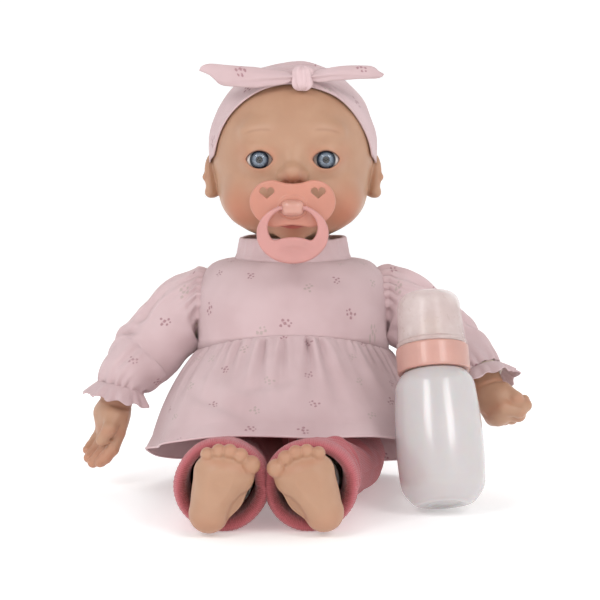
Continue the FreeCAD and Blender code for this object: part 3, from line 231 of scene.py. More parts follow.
def moulded(name, field, low, high, step, finish):
    # the skin where field(p) is zero, between two corners
    low, high = np.asarray(low, float), np.asarray(high, float)
    axes = [np.arange(low[i], high[i] + step, step, dtype=np.float32) for i in range(3)]
    p = np.meshgrid(*axes, indexing="ij", sparse=True)
    full = np.broadcast_to(field(p), [len(axis) for axis in axes]).astype(np.float32)
    grid = openvdb.FloatGrid(3.0)
    grid.copyFromArray(np.ascontiguousarray(np.clip(full / step, -3, 3)))
    points, quads = grid.convertToQuads(0.0)
    points = points * step + low
    quads = np.asarray(quads, np.int64)
    a, b, c, d = (points[quads[:, i]] for i in range(4))
    volume = np.einsum("ij,ij->i", a, np.cross(b, c)).sum() + np.einsum("ij,ij->i", a,
            np.cross(c, d)).sum()
    if volume < 0:
        quads = quads[:, ::-1]
    return finished(name, points, np.ascontiguousarray(quads), finish)


def cloth(name, surface, across, along, finish, flat, loop=False, thick=0.9, out=0.0):
    # a sheet whose points are surface(u, v) for u and v from 0 to 1, sewn shut along u if loop
    u, v = np.meshgrid(np.linspace(0, 1, across + 1), np.linspace(0, 1, along + 1), indexing="ij")
    points = np.stack(surface(u, v), -1)
    rows = across if loop else across + 1
    grid = points[:rows].reshape(-1, 3)
    i, j = np.meshgrid(np.arange(across), np.arange(along), indexing="ij")
    i, j = i.ravel(), j.ravel()
    nextI = (i + 1) % rows
    spots = [(i, j), (i + 1, j), (i + 1, j + 1), (i, j + 1)]
    faces = np.stack([i * (along + 1) + j, nextI * (along + 1) + j,
                      nextI * (along + 1) + j + 1, i * (along + 1) + j + 1], -1)
    uv = np.stack([np.stack([a / across * flat[0], b / along * flat[1]], -1) for a, b in spots], 1)
    thing = finished(name, grid, faces, finish, uv.reshape(-1, 2))
    wall = thing.modifiers.new("thickness", "SOLIDIFY")
    wall.thickness = thick * mm
    wall.offset = out
    wall.use_even_offset = False
    return thing


def turnedPiece(name, profile, finish, segments=96, at=(0, 0, 0), turn=(0, 0, 0), ripple=None):
    # a closed lathe shape about its own Z, from the axis round its outline and back to the axis
    r, z = np.array(profile, float).T
    angle = np.linspace(0, 2 * math.pi, segments, endpoint=False)
    spin = turning(*turn)
    rings = []
    for radius, height in zip(r, z):
        swell = radius if ripple is None else radius + ripple(angle, radius, height)
        ring = np.stack([swell * np.cos(angle), swell * np.sin(angle), np.full(segments, height)], -1)
        rings.append(ring)
    points = np.concatenate(rings)
    j, i = np.meshgrid(np.arange(len(r) - 1), np.arange(segments), indexing="ij")
    k = (i + 1) % segments
    faces = np.stack([j * segments + i, j * segments + k, (j + 1) * segments + k, (j + 1) * segments + i],
                     -1)
    thing = finished(name, points @ spin.T + np.asarray(at, float), faces.reshape(-1, 4), finish)
    tidy(thing)
    return thing


def tidy(thing):
    # joins points that meet on an axis and turns the faces outwards
    import bmesh
    work = bmesh.new()
    work.from_mesh(thing.data)
    bmesh.ops.remove_doubles(work, verts=work.verts, dist=1e-6)
    bmesh.ops.recalc_face_normals(work, faces=work.faces)
    work.to_mesh(thing.data)
    work.free()


def rounded(corners, size, steps=6):
    # an outline whose inner corners are replaced by arcs of about that size
    corners = [np.array(corner, float) for corner in corners]
    path = [corners[0]]
    for before, corner, after in zip(corners, corners[1:], corners[2:]):
        back, on = before - corner, after - corner
        reach = min(size, 0.45 * np.linalg.norm(back), 0.45 * np.linalg.norm(on))
        start = corner + back / np.linalg.norm(back) * reach
        end = corner + on / np.linalg.norm(on) * reach
        for share in np.linspace(0, 1, steps):
            path.append((1 - share) ** 2 * start + 2 * share * (1 - share) * corner + share ** 2 * end)
    path.append(corners[-1])
    return path


def creases(u, v, folds, around=None):
    # each fold is its middle (mm along, mm round), direction, length, depth and width
    height = np.zeros_like(u)
    for along, round_, direction, length, depth, width in folds:
        du, dv = u - along, v - round_
        if around:
            dv = (dv + around / 2) % around - around / 2
        c, s = math.cos(math.radians(direction)), math.sin(math.radians(direction))
        run, off = du * c + dv * s, -du * s + dv * c
        fade = np.exp(-(run / (length / 2)) ** 4)
        off = off + 0.12 * width * np.sin(run / length * 5 + along)
        dip = np.exp(-(off / width) ** 2)
        lips = np.exp(-((np.abs(off) - 1.9 * width) / width) ** 2)
        height += depth * fade * (0.45 * lips - dip)
    return height


def waves(u, v, size, reach, count=9, seed=1):
    # soft uneven hills for cloth, from a few seeded sine waves
    dice = np.random.default_rng(seed)
    height = np.zeros_like(u)
    for _ in range(count):
        angle, length = dice.uniform(0, math.pi), reach * dice.uniform(0.6, 1.7)
        phase = dice.uniform(0, 2 * math.pi)
        height += np.sin((u * math.cos(angle) + v * math.sin(angle)) * 2 * math.pi / length + phase)
    return size * height / math.sqrt(count)


def settle(piece, body, slot, *nodes):
    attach(piece, body)
    if nodes:
        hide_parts(*nodes)
    return piece


def paint(thing, name, values):
    layer = thing.data.attributes.new(name, "FLOAT", "POINT")
    layer.data.foreach_set("value", np.asarray(values, np.float32))


def corners(thing):
    # a mesh's points in millimetres
    found = np.empty(len(thing.data.vertices) * 3)
    thing.data.vertices.foreach_get("co", found)
    return found.reshape(-1, 3).T / mm


# finishes

def attribute(finish, name):
    return finish.node("ShaderNodeAttribute", {"attribute_name": name}, None, 2)


skinLook = dict(tone=tint(177, 135, 108), pale=tint(187, 147, 120), blush=tint(190, 100, 72),
                lip=tint(178, 78, 72), brow=tint(150, 104, 78), lash=tint(70, 44, 38),
                roughness=0.46, scatter=0.12, pore=0.00006)


def vinylFinish(name, masks):
    finish = Finish(name, Roughness=skinLook["roughness"], Subsurface_Weight=skinLook["scatter"],
                    Subsurface_Scale=0.004, Subsurface_Radius=(1.0, 0.45, 0.3), Coat_Weight=0.06,
                    Coat_Roughness=0.3)
    mottle = finish.noise(60, 4).between(0.3, 0.7)
    colour = finish.mix(mottle * 0.6, skinLook["tone"], skinLook["pale"])
    for mask, strength in masks:
        colour = finish.mix(attribute(finish, mask) * strength, colour, skinLook[mask])
    finish.feed("Base Color", colour)
    finish.feed("Roughness", skinLook["roughness"] + 0.1 * (finish.noise(240, 2) - 0.5))
    finish.bump(finish.noise(1500, 3), skinLook["pore"], 0.5)
    return finish


headVinyl = vinylFinish("head_vinyl", [("blush", 0.62), ("lip", 0.72), ("brow", 0.42), ("lash", 0.85)])
limbVinyl = vinylFinish("limb_vinyl", [("blush", 0.4)])

# head

head = dict(mid=(0, 5, 200), size=(48.25, 50, 51), jawMid=(0, -1, 172), jawSize=(42.5, 43, 24.5),
            eyeX=19.25, eyeZ=195, eyeBall=9.0, lidWall=1.15, lidRise=3.35, lidCurve=8.4,
            mouthZ=168, noseZ=187.4, step=0.55)
eyeLow, eyeHigh = (np.array(corner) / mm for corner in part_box("eyeballs"))
head["eyeY"] = (eyeLow[1] + eyeHigh[1]) / 2


def lidGap(x, z):
    # below 0 inside the almond opening of an eye whose middle is at 0, 0
    up = np.sqrt(x ** 2 + (z + head["lidRise"]) ** 2)
    down = np.sqrt(x ** 2 + (z - head["lidRise"]) ** 2)
    return np.maximum(up, down) - head["lidCurve"]


def headField(p):
    x, y, z = p
    side = np.abs(x)
    q = [side, y, z]
    d = melt(egg(p, head["mid"], head["size"]), egg(p, head["jawMid"], head["jawSize"]), 9)
    d = melt(d, ball(q, (25, -22.5, 171), 14.2), 9)                   # cheeks
    d = melt(d, ball(p, (0, -27.5, 156.5), 9.6), 7)                     # chin
    d = melt(d, egg(q, (16, -34, 211), (13, 6, 6)), 8)                # brow
    d = scoop(d, egg(q, (20, -49, 198), (12, 7.2, 7)), 7)             # sockets
    d = melt(d, limb(p, (0, -39.5, 200), (0, -45, 190), 3.4, 4.2), 7)   # bridge
    d = melt(d, ball(p, (0, -47.0, head["noseZ"]), 5.3), 3.5)
    d = melt(d, ball(q, (5.2, -44.2, head["noseZ"] - 1.8), 3.5), 2.6)
    d = scoop(d, ball(q, (3.1, -47.6, head["noseZ"] - 5.4), 1.3), 1.6)
    # lips round the open mouth
    spread = np.sqrt((x / 1.12) ** 2 + (z - head["mouthZ"] + 0.6) ** 2)
    lips = np.sqrt((spread - 9.4) ** 2 + (y + 41.2) ** 2) - 3.2
    d = melt(d, lips, 2.4)
    d = scoop(d, limb(p, (-5, -44.5, 153.2), (5, -44.5, 153.2), 1.6, 1.6), 5)  # dent under the lower lip
    d = scoop(d, limb(p, (0, -60, head["mouthZ"]), (0, -22, head["mouthZ"]), 8.1, 8.1), 1.2)
    # lids
    eye = (head["eyeX"], head["eyeY"], head["eyeZ"])
    d = melt(d, ball(q, eye, head["eyeBall"] + head["lidWall"]), 4.5)
    d = scoop(d, limb(q, (10.5, -43.8, 200.5), (28, -41.3, 201.2), 0.5, 0.5), 1.6)  # fold above the lid
    opening = np.maximum(lidGap(side - eye[0], z - eye[2]), y + 30)
    d = scoop(d, opening, 0.7)
    d = np.maximum(d, -ball(q, eye, head["eyeBall"] + 0.12))
    # ears
    e = spun(q, (47.6, 8, 185), 24, 6, -8)
    ear = egg(e, (0, 0, 0), (4.6, 8.6, 13.4))
    ear = scoop(ear, egg(e, (4.6, -1.0, 1.4), (3.0, 5.0, 8.8)), 1.6)
    ear = melt(ear, limb(e, (1.7, 0.8, 6.5), (2.4, 2.4, -3.0), 1.2, 1.2), 1.4)
    ear = melt(ear, ball(e, (2.4, -6.0, -1.6), 1.9), 1.8)
    ear = melt(ear, ball(e, (1.6, -2.6, -10.6), 3.1), 2.5)
    d = melt(d, ear, 2.2)
    # neck
    neck = np.maximum(np.sqrt(x ** 2 + (y - 5) ** 2) - 19.4, np.abs(z - 148) - 16.6)
    return melt(d, neck, 5)


def paintHead(thing):
    x, y, z = corners(thing)
    side = np.abs(x)
    front = smooth(-y, 20, 30)

    def spot(a, b, c, reach):
        return np.exp(-((side - a) ** 2 + (y - b) ** 2 + (z - c) ** 2) / reach ** 2)

    # the spot on the chin is partly blush and partly painted shade under the lower lip
    blush = 0.85 * spot(29, -32, 166, 13) + 0.8 * spot(3, -50, 182.5, 5) + 0.7 * spot(0, -42, 155, 12)
    blush += 0.32 * spot(11.5, -41, 199, 4.5) + 0.4 * spot(52, 7, 184, 6) + 0.25 * spot(30, -35, 199, 6)
    gap = lidGap(side - head["eyeX"], z - head["eyeZ"])
    blush += 0.35 * np.exp(-(gap / 2.2) ** 2) * front
    upper = smooth(z - head["eyeZ"], -0.6, 1.6)
    lash = np.exp(-((gap - 0.15) / 0.55) ** 2) * (0.12 + 0.88 * upper) * front
    inside = smooth(-(y - head["eyeY"]), 5.0, 7.0)
    arch = 212.4 - 0.020 * np.maximum(side - 17, 0) ** 2 - 0.012 * np.minimum(side - 17, 0) ** 2
    brow = np.exp(-((z - arch) / 0.75) ** 2) * smooth(side, 11.5, 15) * (1 - smooth(side, 24, 29)) * front
    spread = np.sqrt((x / 1.12) ** 2 + (z - head["mouthZ"] + 0.6) ** 2)
    lip = (1 - smooth(spread, 11.4, 13.6)) * smooth(-y, 38, 41.5) * (1 - smooth(z, 178, 181))
    paint(thing, "blush", np.clip(blush, 0, 1))
    paint(thing, "lash", np.clip(lash * inside, 0, 1))
    paint(thing, "brow", np.clip(brow, 0, 1))
    paint(thing, "lip", np.clip(lip, 0, 1))


headPiece = moulded("head", headField, (-56, -56, 130), (56, 58, 253), head["step"], headVinyl)
paintHead(headPiece)
settle(headPiece, "head", "vinyl_skin", "head_shell")
print("head made")

# edge is painted shade: the eye white darker and warmer at its rim, where the lids overhang
eye = dict(iris=5.5, pupil=1.9, dip=0.7, bulge=0.35, white=tint(226, 219, 216), edge=tint(188, 158, 150),
           dark=tint(36, 42, 54), ring=tint(58, 68, 84), light=tint(146, 160, 176),
           mid=tint(92, 108, 130))


def eyeFinish():
    # radius and angle about the eye's own axis come from its cut
    finish = Finish("eye_paint", Roughness=0.12, Coat_Weight=0.6, Coat_Roughness=0.03)
    about, radius, _ = finish.split(finish.node("ShaderNodeTexCoord", output=2))
    radius = radius * 1000
    streaks = finish.noise(1.0, 2, finish.node("ShaderNodeCombineXYZ", None,
                                               {"X": about * 9000, "Y": radius * 0.3}))
    body = finish.mix(streaks.between(0.3, 0.7), eye["mid"], eye["light"])
    body = finish.mix(radius.between(eye["iris"] - 1.9, eye["iris"] - 0.7), body, eye["ring"])
    body = finish.mix(radius.between(eye["iris"] - 0.8, eye["iris"] - 0.2), body, eye["dark"])
    body = finish.mix(1 - radius.between(eye["pupil"], eye["pupil"] + 0.45), body, eye["dark"])
    body = finish.mix(1 - radius.between(eye["pupil"] - 0.5, eye["pupil"]), body, tint(6, 6, 9))
    # the white turns darker and warmer towards its rim: painted shade under the lids
    white = finish.mix(radius.between(6.2, 8.4), eye["white"], eye["edge"])
    finish.feed("Base Color", finish.mix(radius.between(eye["iris"] - 0.12, eye["iris"] + 0.2), body,
                                         white))
    return finish


def clearFinish(name, roughness=0.02):
    # clear cover: mostly seen through, with a gloss that grows at grazing angles
    finish = Finish(name, Roughness=roughness)
    clear = finish.node("ShaderNodeBsdfTransparent")
    gloss = finish.node("ShaderNodeBsdfGlossy", None, {"Roughness": roughness})
    rim = finish.node("ShaderNodeFresnel", None, {"IOR": 1.45})
    both = finish.node("ShaderNodeMixShader", None, {0: rim, 1: clear, 2: gloss})
    out = finish.tree.nodes["Material Output"]
    finish.tree.links.new(both.socket, out.inputs["Surface"])
    return finish


def eyeMesh(name, finish, sign, profile):
    # a lathe shape about the line of sight, whose cut holds the angle and the radius
    r, depth = np.array(profile, float).T
    count = 72
    angle = np.linspace(0, 2 * math.pi, count, endpoint=False)
    rings = [np.stack([a * np.cos(angle), np.full(count, -b), a * np.sin(angle)], -1) for a,
             b in zip(r, depth)]
    j, i = np.meshgrid(np.arange(len(r) - 1), np.arange(count), indexing="ij")
    k = (i + 1) % count
    faces = np.stack([j * count + i, (j + 1) * count + i, (j + 1) * count + k, j * count + k],
                     -1).reshape(-1, 4)
    uv = np.stack([np.stack([angle[i], r[j]], -1), np.stack([angle[i], r[j + 1]], -1),
                   np.stack([angle[i] + angle[1], r[j + 1]], -1),
                   np.stack([angle[i] + angle[1], r[j]], -1)], 2).reshape(-1, 2)
    at = np.array([sign * head["eyeX"], head["eyeY"], head["eyeZ"]])
    thing = finished(name, np.concatenate(rings) + at, faces, finish, uv)
    tidy(thing)
    return thing


eyePaint, corneaClear = eyeFinish(), clearFinish("cornea_clear")
for sideName, sign in (("left", -1), ("right", 1)):
    R = head["eyeBall"] - 0.05
    irisY = math.sqrt(R ** 2 - eye["iris"] ** 2)
    dome = [(R * math.sin(t), R * math.cos(t)) for t in np.linspace(math.asin(eye["iris"] / R), math.pi
            * 0.72, 26)]
    dish = [(a, irisY - eye["dip"] * (1 - (a / eye["iris"]) ** 2)) for a in np.linspace(0, eye["iris"],
            20)]
    ballPiece = eyeMesh(f"eye_{sideName}", eyePaint, sign, dish + dome)
    settle(ballPiece, "head", "eye_white", "eyeballs", "irises")
    cover = [(a, math.sqrt(R ** 2 - a ** 2) + 0.06 + eye["bulge"] * (1 - (a / 6.1) ** 2) ** 2)
             for a in np.linspace(0, 6.1, 16)]
    coverPiece = eyeMesh(f"cornea_{sideName}", corneaClear, sign, cover)
    settle(coverPiece, "head", "eye_clear", "corneas")
print("eyes made")

# pacifier

pacifier = dict(front=-57.5, thick=3.0, bend=0.006, lobeX=12.2, lobeZ=171.4, lobe=12.4, cheekX=9.5,
                cheekZ=165.2, cheek=7.6, heartX=14.6, heartZ=176.6, step=0.4, middle=168.0)
ring = dict(z=153.4, wide=20.5, tall=17.0, y=-61.0, thick=3.6, holeWide=14.2, holeTall=11.4, holeZ=157.0,
            lensZ=143.6, lensWide=15.4, lensTall=8.0, gap=7.3)


def plasticFinish(name, colour, roughness=0.4, coat=0.15, scatter=0.08, grain=0.00004, deeper=0.9):
    finish = Finish(name, Coat_Weight=coat, Coat_Roughness=0.12, Subsurface_Weight=scatter,
                    Subsurface_Scale=0.003)
    shade = tuple(part * deeper for part in colour[:3]) + (1.0,)
    finish.feed("Base Color", finish.mix(finish.noise(45, 3).between(0.35, 0.7), shade, colour))
    finish.feed("Roughness", roughness + 0.12 * (finish.noise(150, 3) - 0.5))
    finish.bump(finish.noise(900, 3), grain, 0.5)
    return finish


pacifierPink = plasticFinish("pacifier_pink", tint(206, 140, 120))
ringPink = plasticFinish("ring_pink", tint(204, 146, 140), 0.48)
buttonGloss = plasticFinish("button_gloss", tint(208, 152, 136), 0.12, 0.7)
siliconeClear = plasticFinish("silicone_teat", tint(236, 214, 196), 0.3, 0.3, 0.3)


def flatEgg(x, z, midX, midZ, wide, tall):
    q = np.sqrt(((x - midX) / wide) ** 2 + ((z - midZ) / tall) ** 2)
    steep = np.sqrt(((x - midX) / wide ** 2) ** 2 + ((z - midZ) / tall ** 2) ** 2)
    return q * (q - 1) / np.maximum(steep, 1e-6)


def plate(outline, y, middle, thick, soft):
    # a plate of an outline's shape with softened edges
    wall = np.abs(y - middle) - thick / 2 + soft
    outline = outline + soft
    return np.minimum(np.maximum(outline, wall), 0) + np.sqrt(np.maximum(outline, 0) ** 2
                                                              + np.maximum(wall, 0) ** 2) - soft


def shieldField(p):
    x, y, z = p
    side = np.abs(x)
    s = pacifier
    lobes = np.sqrt((side - s["lobeX"]) ** 2 + (z - s["lobeZ"]) ** 2) - s["lobe"]
    cheeks = np.sqrt((side - s["cheekX"]) ** 2 + (z - s["cheekZ"]) ** 2) - s["cheek"]
    outline = melt(lobes, cheeks, 6)
    outline = melt(outline, flatEgg(x, z, 0, 170, 9, 11.6), 5)
    back = y - s["bend"] * x ** 2 - 0.004 * (z - 171) ** 2
    d = plate(outline, back, s["front"] + s["thick"] / 2, s["thick"], 1.1)
    top = (s["heartX"], 0, s["heartZ"])
    for lean in (-1, 1):
        heart = limb([side - top[0], 0 * y, z - top[2]], (0, 0, -2.9), (lean * 2.1, 0, 0.9), 0.35, 2.05)
        d = scoop(d, heart, 0.35)
    d = scoop(d, egg(p, (0, s["front"] - 2.6, 165.6), (12.6, 4.0, 9.4)),
              0.9)       # recess round the button
    d = melt(d, plate(flatEgg(x, z, 0, 168.5, 8.6, 6.8), y, s["front"] + 0.6, 2.4, 0.8), 1.0)
    return d


def buttonField(p):
    x, y, z = p
    fat = ((np.abs(x) / 6.7) ** 3.2 + (np.abs(z - pacifier["middle"]) / 4.8) ** 3.2
           + (np.maximum(pacifier["front"] + 0.3 - y, 0) / 6.6) ** 2.6)
    return np.maximum((fat ** (1 / 2.9) - 1) * 4.6, y - pacifier["front"] - 0.5)


def ringField(p):
    x, y, z = p
    outer = flatEgg(x, z, 0, ring["z"], ring["wide"], ring["tall"])
    hole = flatEgg(x, z, 0, ring["holeZ"], ring["holeWide"], ring["holeTall"])
    lens = flatEgg(x, z, 0, ring["lensZ"], ring["lensWide"], ring["lensTall"])
    outline = np.maximum(outer, melt(-hole, lens, 1.5))
    # the slot that the button stands in, open at the top
    slot = np.maximum(np.abs(x) - ring["gap"], 157 - z)
    outline = scoop(outline, slot, 0.8)
    d = plate(outline, y, ring["y"], ring["thick"], 1.3)
    d = scoop(d, egg(p, (0, ring["y"] - ring["thick"] / 2 - 0.35, 142.6), (9.2, 1.05, 3.9)), 0.5)
    pins = np.maximum(np.sqrt((y - ring["y"]) ** 2 + (z - pacifier["middle"]) ** 2) - 1.2,
                      np.abs(np.abs(x) - 7.2) - 1.6)
    return melt(d, pins, 0.5)


shieldPiece = moulded("pacifier_shield_moulded", shieldField, (-27, -66, 154), (27, -46, 187),
                      pacifier["step"],
                      pacifierPink)
settle(shieldPiece, "pacifier", "pink_plastic", "pacifier_shield")
buttonPiece = moulded("pacifier_button_moulded", buttonField, (-9, -67, 161), (9, -55, 175), 0.35,
                      buttonGloss)
settle(buttonPiece, "pacifier", "pink_gloss", "pacifier_button")
ringPiece = moulded("pacifier_ring_moulded", ringField, (-23, -65, 134), (23, -57, 173), pacifier["step"],
                    ringPink)
settle(ringPiece, "pacifier_ring_body", "pink_plastic", "pacifier_ring")
print("pacifier made")

# bottle

bottle = dict(at=(84.3, -104, 5.09), turn=(0, -3.7, -21), collarStart=76.2, collarTall=14.5)
milkyBody = plasticFinish("bottle_milky", tint(200, 194, 194), 0.24, 0.5, 0.3, 0.00003, 0.97)
collarPink = plasticFinish("bottle_salmon", tint(204, 154, 142), 0.36, 0.3)


def frostedFinish():
    # frosted clear plastic: thin, a little milky, with soft gloss
    finish = Finish("cap_frosted", Roughness=0.28, Coat_Weight=0.35, Coat_Roughness=0.2)
    cloud = finish.noise(70, 3).between(0.3, 0.8)
    finish.feed("Base Color", finish.mix(cloud, tint(226, 208, 204), tint(236, 222, 219)))
    finish.feed("Alpha", 0.42 + 0.08 * cloud)
    finish.feed("Roughness", 0.24 + 0.1 * finish.noise(300, 2))
    finish.bump(finish.noise(1200, 2), 0.00004, 0.4)
    return finish


def onBottle(name, profile, finish, ripple=None, segments=112):
    return turnedPiece(name, profile, finish, segments, bottle["at"], bottle["turn"], ripple)


bodyLine = rounded([(0, 1.8), (8, 1.8), (10, 1.0), (16.5, 1.0), (23.4, 9.5), (24.6, 28), (24.2, 50),
                    (22.2, 70), (18.2, 75.6),
                    (16.6, 76.4), (16.4, 84), (0, 84)], 9)
settle(onBottle("bottle_body_blown", bodyLine, milkyBody), "bottle", "clear_plastic", "bottle_body",
       "bottle_milk")
c0 = bottle["collarStart"]
collarLine = rounded([(16.6, c0 + 1), (16.9, c0), (20.2, c0), (20.5, c0 + 1), (20.5, c0 + 13.4),
                      (20.1, c0 + 14.4),
                      (18.6, c0 + 14.5), (18.4, c0 + 18.4), (12.2, c0 + 18.5), (12.2, c0 + 11.5),
                      (16.6, c0 + 11.3), (16.6, c0 + 1)], 0.8, 5)
settle(onBottle("bottle_collar_turned", collarLine, collarPink,
                lambda a, r, z: np.where(r > 20, 0.10 * np.cos(a * 60), 0)), "bottle", "pink_plastic",
       "bottle_collar")
c1 = c0 + bottle["collarTall"] + 0.05
outer = rounded([(18.7, c1), (20.0, c1), (20.0, c1 + 2.2), (19.2, c1 + 3.0), (17.3, c1 + 31.4),
                 (0, c1 + 32.0)], 12, 12)
inner = rounded([(0, c1 + 30.8), (16.2, c1 + 30.2), (18.1, c1 + 5), (18.7, c1 + 4.6), (18.7, c1)], 11, 12)
settle(onBottle("bottle_cap_dome", outer + inner, frostedFinish()), "bottle_cap_body", "clear_plastic",
       "bottle_cap")
print("bottle made")

# cotton, knit and plain cloth

cotton = dict(base=tint(220, 194, 196), deep=tint(202, 172, 174),
              plum=tint(150, 88, 100), sage=tint(158, 152, 132), thread=0.00042, repeat=0.027,
              petals=[(0.0, 0.0, 0.75), (2.3, 1.0, 0.62), (-2.1, 1.5, 0.66), (1.4, -2.0, 0.55),
                      (-1.5, -1.7, 0.7), (3.2, -0.7, 0.4)])


def weave(across, along, pitch):
    # over and under threads of a plain cloth
    turn = 2 * math.pi / pitch
    return (across * turn).sine() * (along * turn).sine()


def sprigs(finish, cut, repeat):
    # a small six-petal sprig in each cell of a loose lattice, turned by the cell's own random number
    settings = {"feature": "F1", "voronoi_dimensions": "2D"}
    sockets = {"Vector": cut, "Scale": 1 / repeat, "Randomness": 0.62}
    chance = finish.node("ShaderNodeTexVoronoi", settings, sockets, 1)
    spot = finish.node("ShaderNodeTexVoronoi", settings, sockets, 2)
    away = finish.node("ShaderNodeVectorMath", {"operation": "SUBTRACT"}, {0: cut, 1: spot})
    x, y, _ = finish.split(away)
    dice, faint, _ = finish.split(chance)
    angle = dice * 2 * math.pi
    c, s = angle.cosine(), angle.sine()
    wobble = (finish.noise(900, 2, cut) - 0.5) * 1.1
    a = (x * c + y * s) * 1000 + wobble
    b = (y * c - x * s) * 1000 + wobble
    near = None
    for petalX, petalY, size in cotton["petals"]:
        gap = ((a - petalX) ** 2 + (b - petalY) ** 2) ** 0.5 - size
        near = gap if near is None else near.least(gap)
    stem = ((b - a * 0.35).maths("ABSOLUTE", b - a * 0.35) + (a * a) * 0.05) - 0.05
    near = near.least(stem)
    return 1 - near.between(-0.15, 0.4), faint


def cottonFinish(name, printed=True):
    finish = Finish(name, Sheen_Weight=0.22, Sheen_Roughness=0.5, Specular_IOR_Level=0.25)
    cut = finish.node("ShaderNodeTexCoord", output=2)
    across, along, _ = finish.split(cut)
    thread = weave(across, along, cotton["thread"])
    soft = finish.noise(38, 3).between(0.3, 0.75)
    colour = finish.mix(soft * 0.55, cotton["base"], cotton["deep"])
    colour = finish.mix((0.5 - thread * 0.5) * 0.16, colour, cotton["deep"])
    if printed:
        mask, faint = sprigs(finish, cut, cotton["repeat"])
        ink = finish.mix(faint.between(0.62, 0.66), cotton["plum"], cotton["sage"])
        strength = 0.85 - 0.4 * faint.between(0.3, 0.9)
        colour = finish.mix(mask * strength * (0.75 + 0.25 * thread), colour, ink)
    finish.feed("Base Color", colour)
    finish.feed("Roughness", 0.82 + 0.1 * finish.noise(400, 2))
    finish.bump(thread + finish.noise(90, 3) * 3, 0.00009, 0.7)
    return finish


printCotton = cottonFinish("print_cotton")
plainCotton = cottonFinish("plain_cotton", False)
print("cotton woven")

# headband and bow

band = dict(frontY=-30, frontZ=237.5, lean=22.5, napeZ=192, napeFall=16, crownY=22, crownRadius=31,
            lift=1.25, thick=1.0, bulge=1.5)


def skullPoint(across, up, lift):
    # a point of the skull seen from its middle along an azimuth and a polar angle from the crown's axis
    axis = np.array([0, 0.335, 0.942])
    side = np.array([1.0, 0, 0])
    front = np.cross(axis, side)
    sine, cosine = np.sin(up), np.cos(up)
    ray = [axis[i] * cosine + sine * (side[i] * np.sin(across) - front[i]
                                      * np.cos(across)) for i in range(3)]
    reach = 1 / np.sqrt(sum((ray[i] / (head["size"][i] + lift)) ** 2 for i in range(3)))
    return [head["mid"][i] + ray[i] * reach for i in range(3)]


def bandEdges(across):
    # polar angles where the band starts at the crown and ends over the face or the nape
    sweep = np.linspace(0.1, 2.6, 500)
    x, y, z = skullPoint(across[:, None], sweep[None, :], 1.0)
    lean, fall = math.radians(band["lean"]), math.radians(band["napeFall"])
    face = (y - band["frontY"]) * math.cos(lean) + (z - band["frontZ"]) * math.sin(lean)
    nape = (y - 5) * math.sin(fall) + (z - band["napeZ"]) * math.cos(fall)
    keep = np.minimum(face, nape)
    crown = np.hypot(x, y - band["crownY"]) - band["crownRadius"]
    start = sweep[np.argmax(crown > 0, axis=1)]
    past = (keep < 0) & (sweep[None, :] > start[:, None] + 0.05)
    return start, sweep[np.argmax(past, axis=1)]


def bandSurface(u, v):
    around = (u - 0.5) * 2 * math.pi
    line = np.linspace(0, 2 * math.pi, 361) - math.pi
    start, end = bandEdges(line)
    kernel = np.hanning(11)
    kernel /= kernel.sum()
    start, end = (np.convolve(np.concatenate([a[-6:-1], a, a[1:6]]), kernel,
                              "same")[5:-5] for a in (start, end))
    begin, finishAt = np.interp(around, line, start), np.interp(around, line, end)
    up = begin + (finishAt - begin) * v
    fromKnot = np.abs((around - 0.12 + math.pi) % (2 * math.pi) - math.pi)
    gather = np.exp(-(fromKnot / 0.42) ** 2)
    fine = np.sin(v * 2 * math.pi * 5.5 + 0.8 * np.sin(around * 7)) * 1.0 * gather
    long = np.sin(v * 2 * math.pi * 2.2 + around * 1.7 + 1) * 0.75 * np.exp(-(fromKnot / 1.1) ** 2)
    rim = 0.45 * (np.exp(-(v / 0.05) ** 2) + np.exp(-((1 - v) / 0.05) ** 2))
    lift = band["lift"] + band["bulge"] * np.sin(np.pi * v) ** 0.8 * (0.35 + 0.65
            * gather) + fine + long + rim
    lift = np.maximum(lift, 0.75) + waves(u * 300, v * 40, 0.22, 22, 8, 5)
    return skullPoint(around, up, lift)


bandPiece = cloth("headband_cloth", bandSurface, 320, 44, printCotton, (300, 42), True, band["thick"])
settle(bandPiece, "head", "print_cotton", "headband")

knotLow, knotHigh = (np.array(corner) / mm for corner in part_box("headband_knot"))
knot = dict(at=((knotLow[0] + knotHigh[0]) / 2, -34.4, (knotLow[2] + knotHigh[2]) / 2),
            size=(6.4, 5.4, 7.0))


def knotField(p):
    x, y, z = [p[i] - knot["at"][i] for i in range(3)]
    turn = np.arctan2(x, -y)
    flute = 0.32 * np.sin(turn * 9 + z * 0.16) + 0.22 * np.sin(turn * 5 - z * 0.3 + 1)
    waist = 1 - 0.10 * np.exp(-(z / 3.0) ** 2)
    fat = ((np.abs(x) / (knot["size"][0] * waist)) ** 2.4 + (np.abs(y) / knot["size"][1]) ** 2.2
           + (np.abs(z) / knot["size"][2]) ** 3.0)
    return (fat ** (1 / 2.5) - 1) * 5.2 - flute


knotPiece = moulded("headband_knot_cloth", knotField, knotLow - 3, knotHigh + (3, 5, 3), 0.4, plainCotton)
settle(knotPiece, "head", "print_cotton", "headband_knot")

tails = {"left": dict(long=50, wide=(6.0, 11.4, 12.4), rise=2.2, slant=9, droop=-1.0, sign=-1),
         "right": dict(long=40, wide=(6.4, 7.6, 6.6), rise=2.8, slant=-4, droop=1.2, sign=1)}


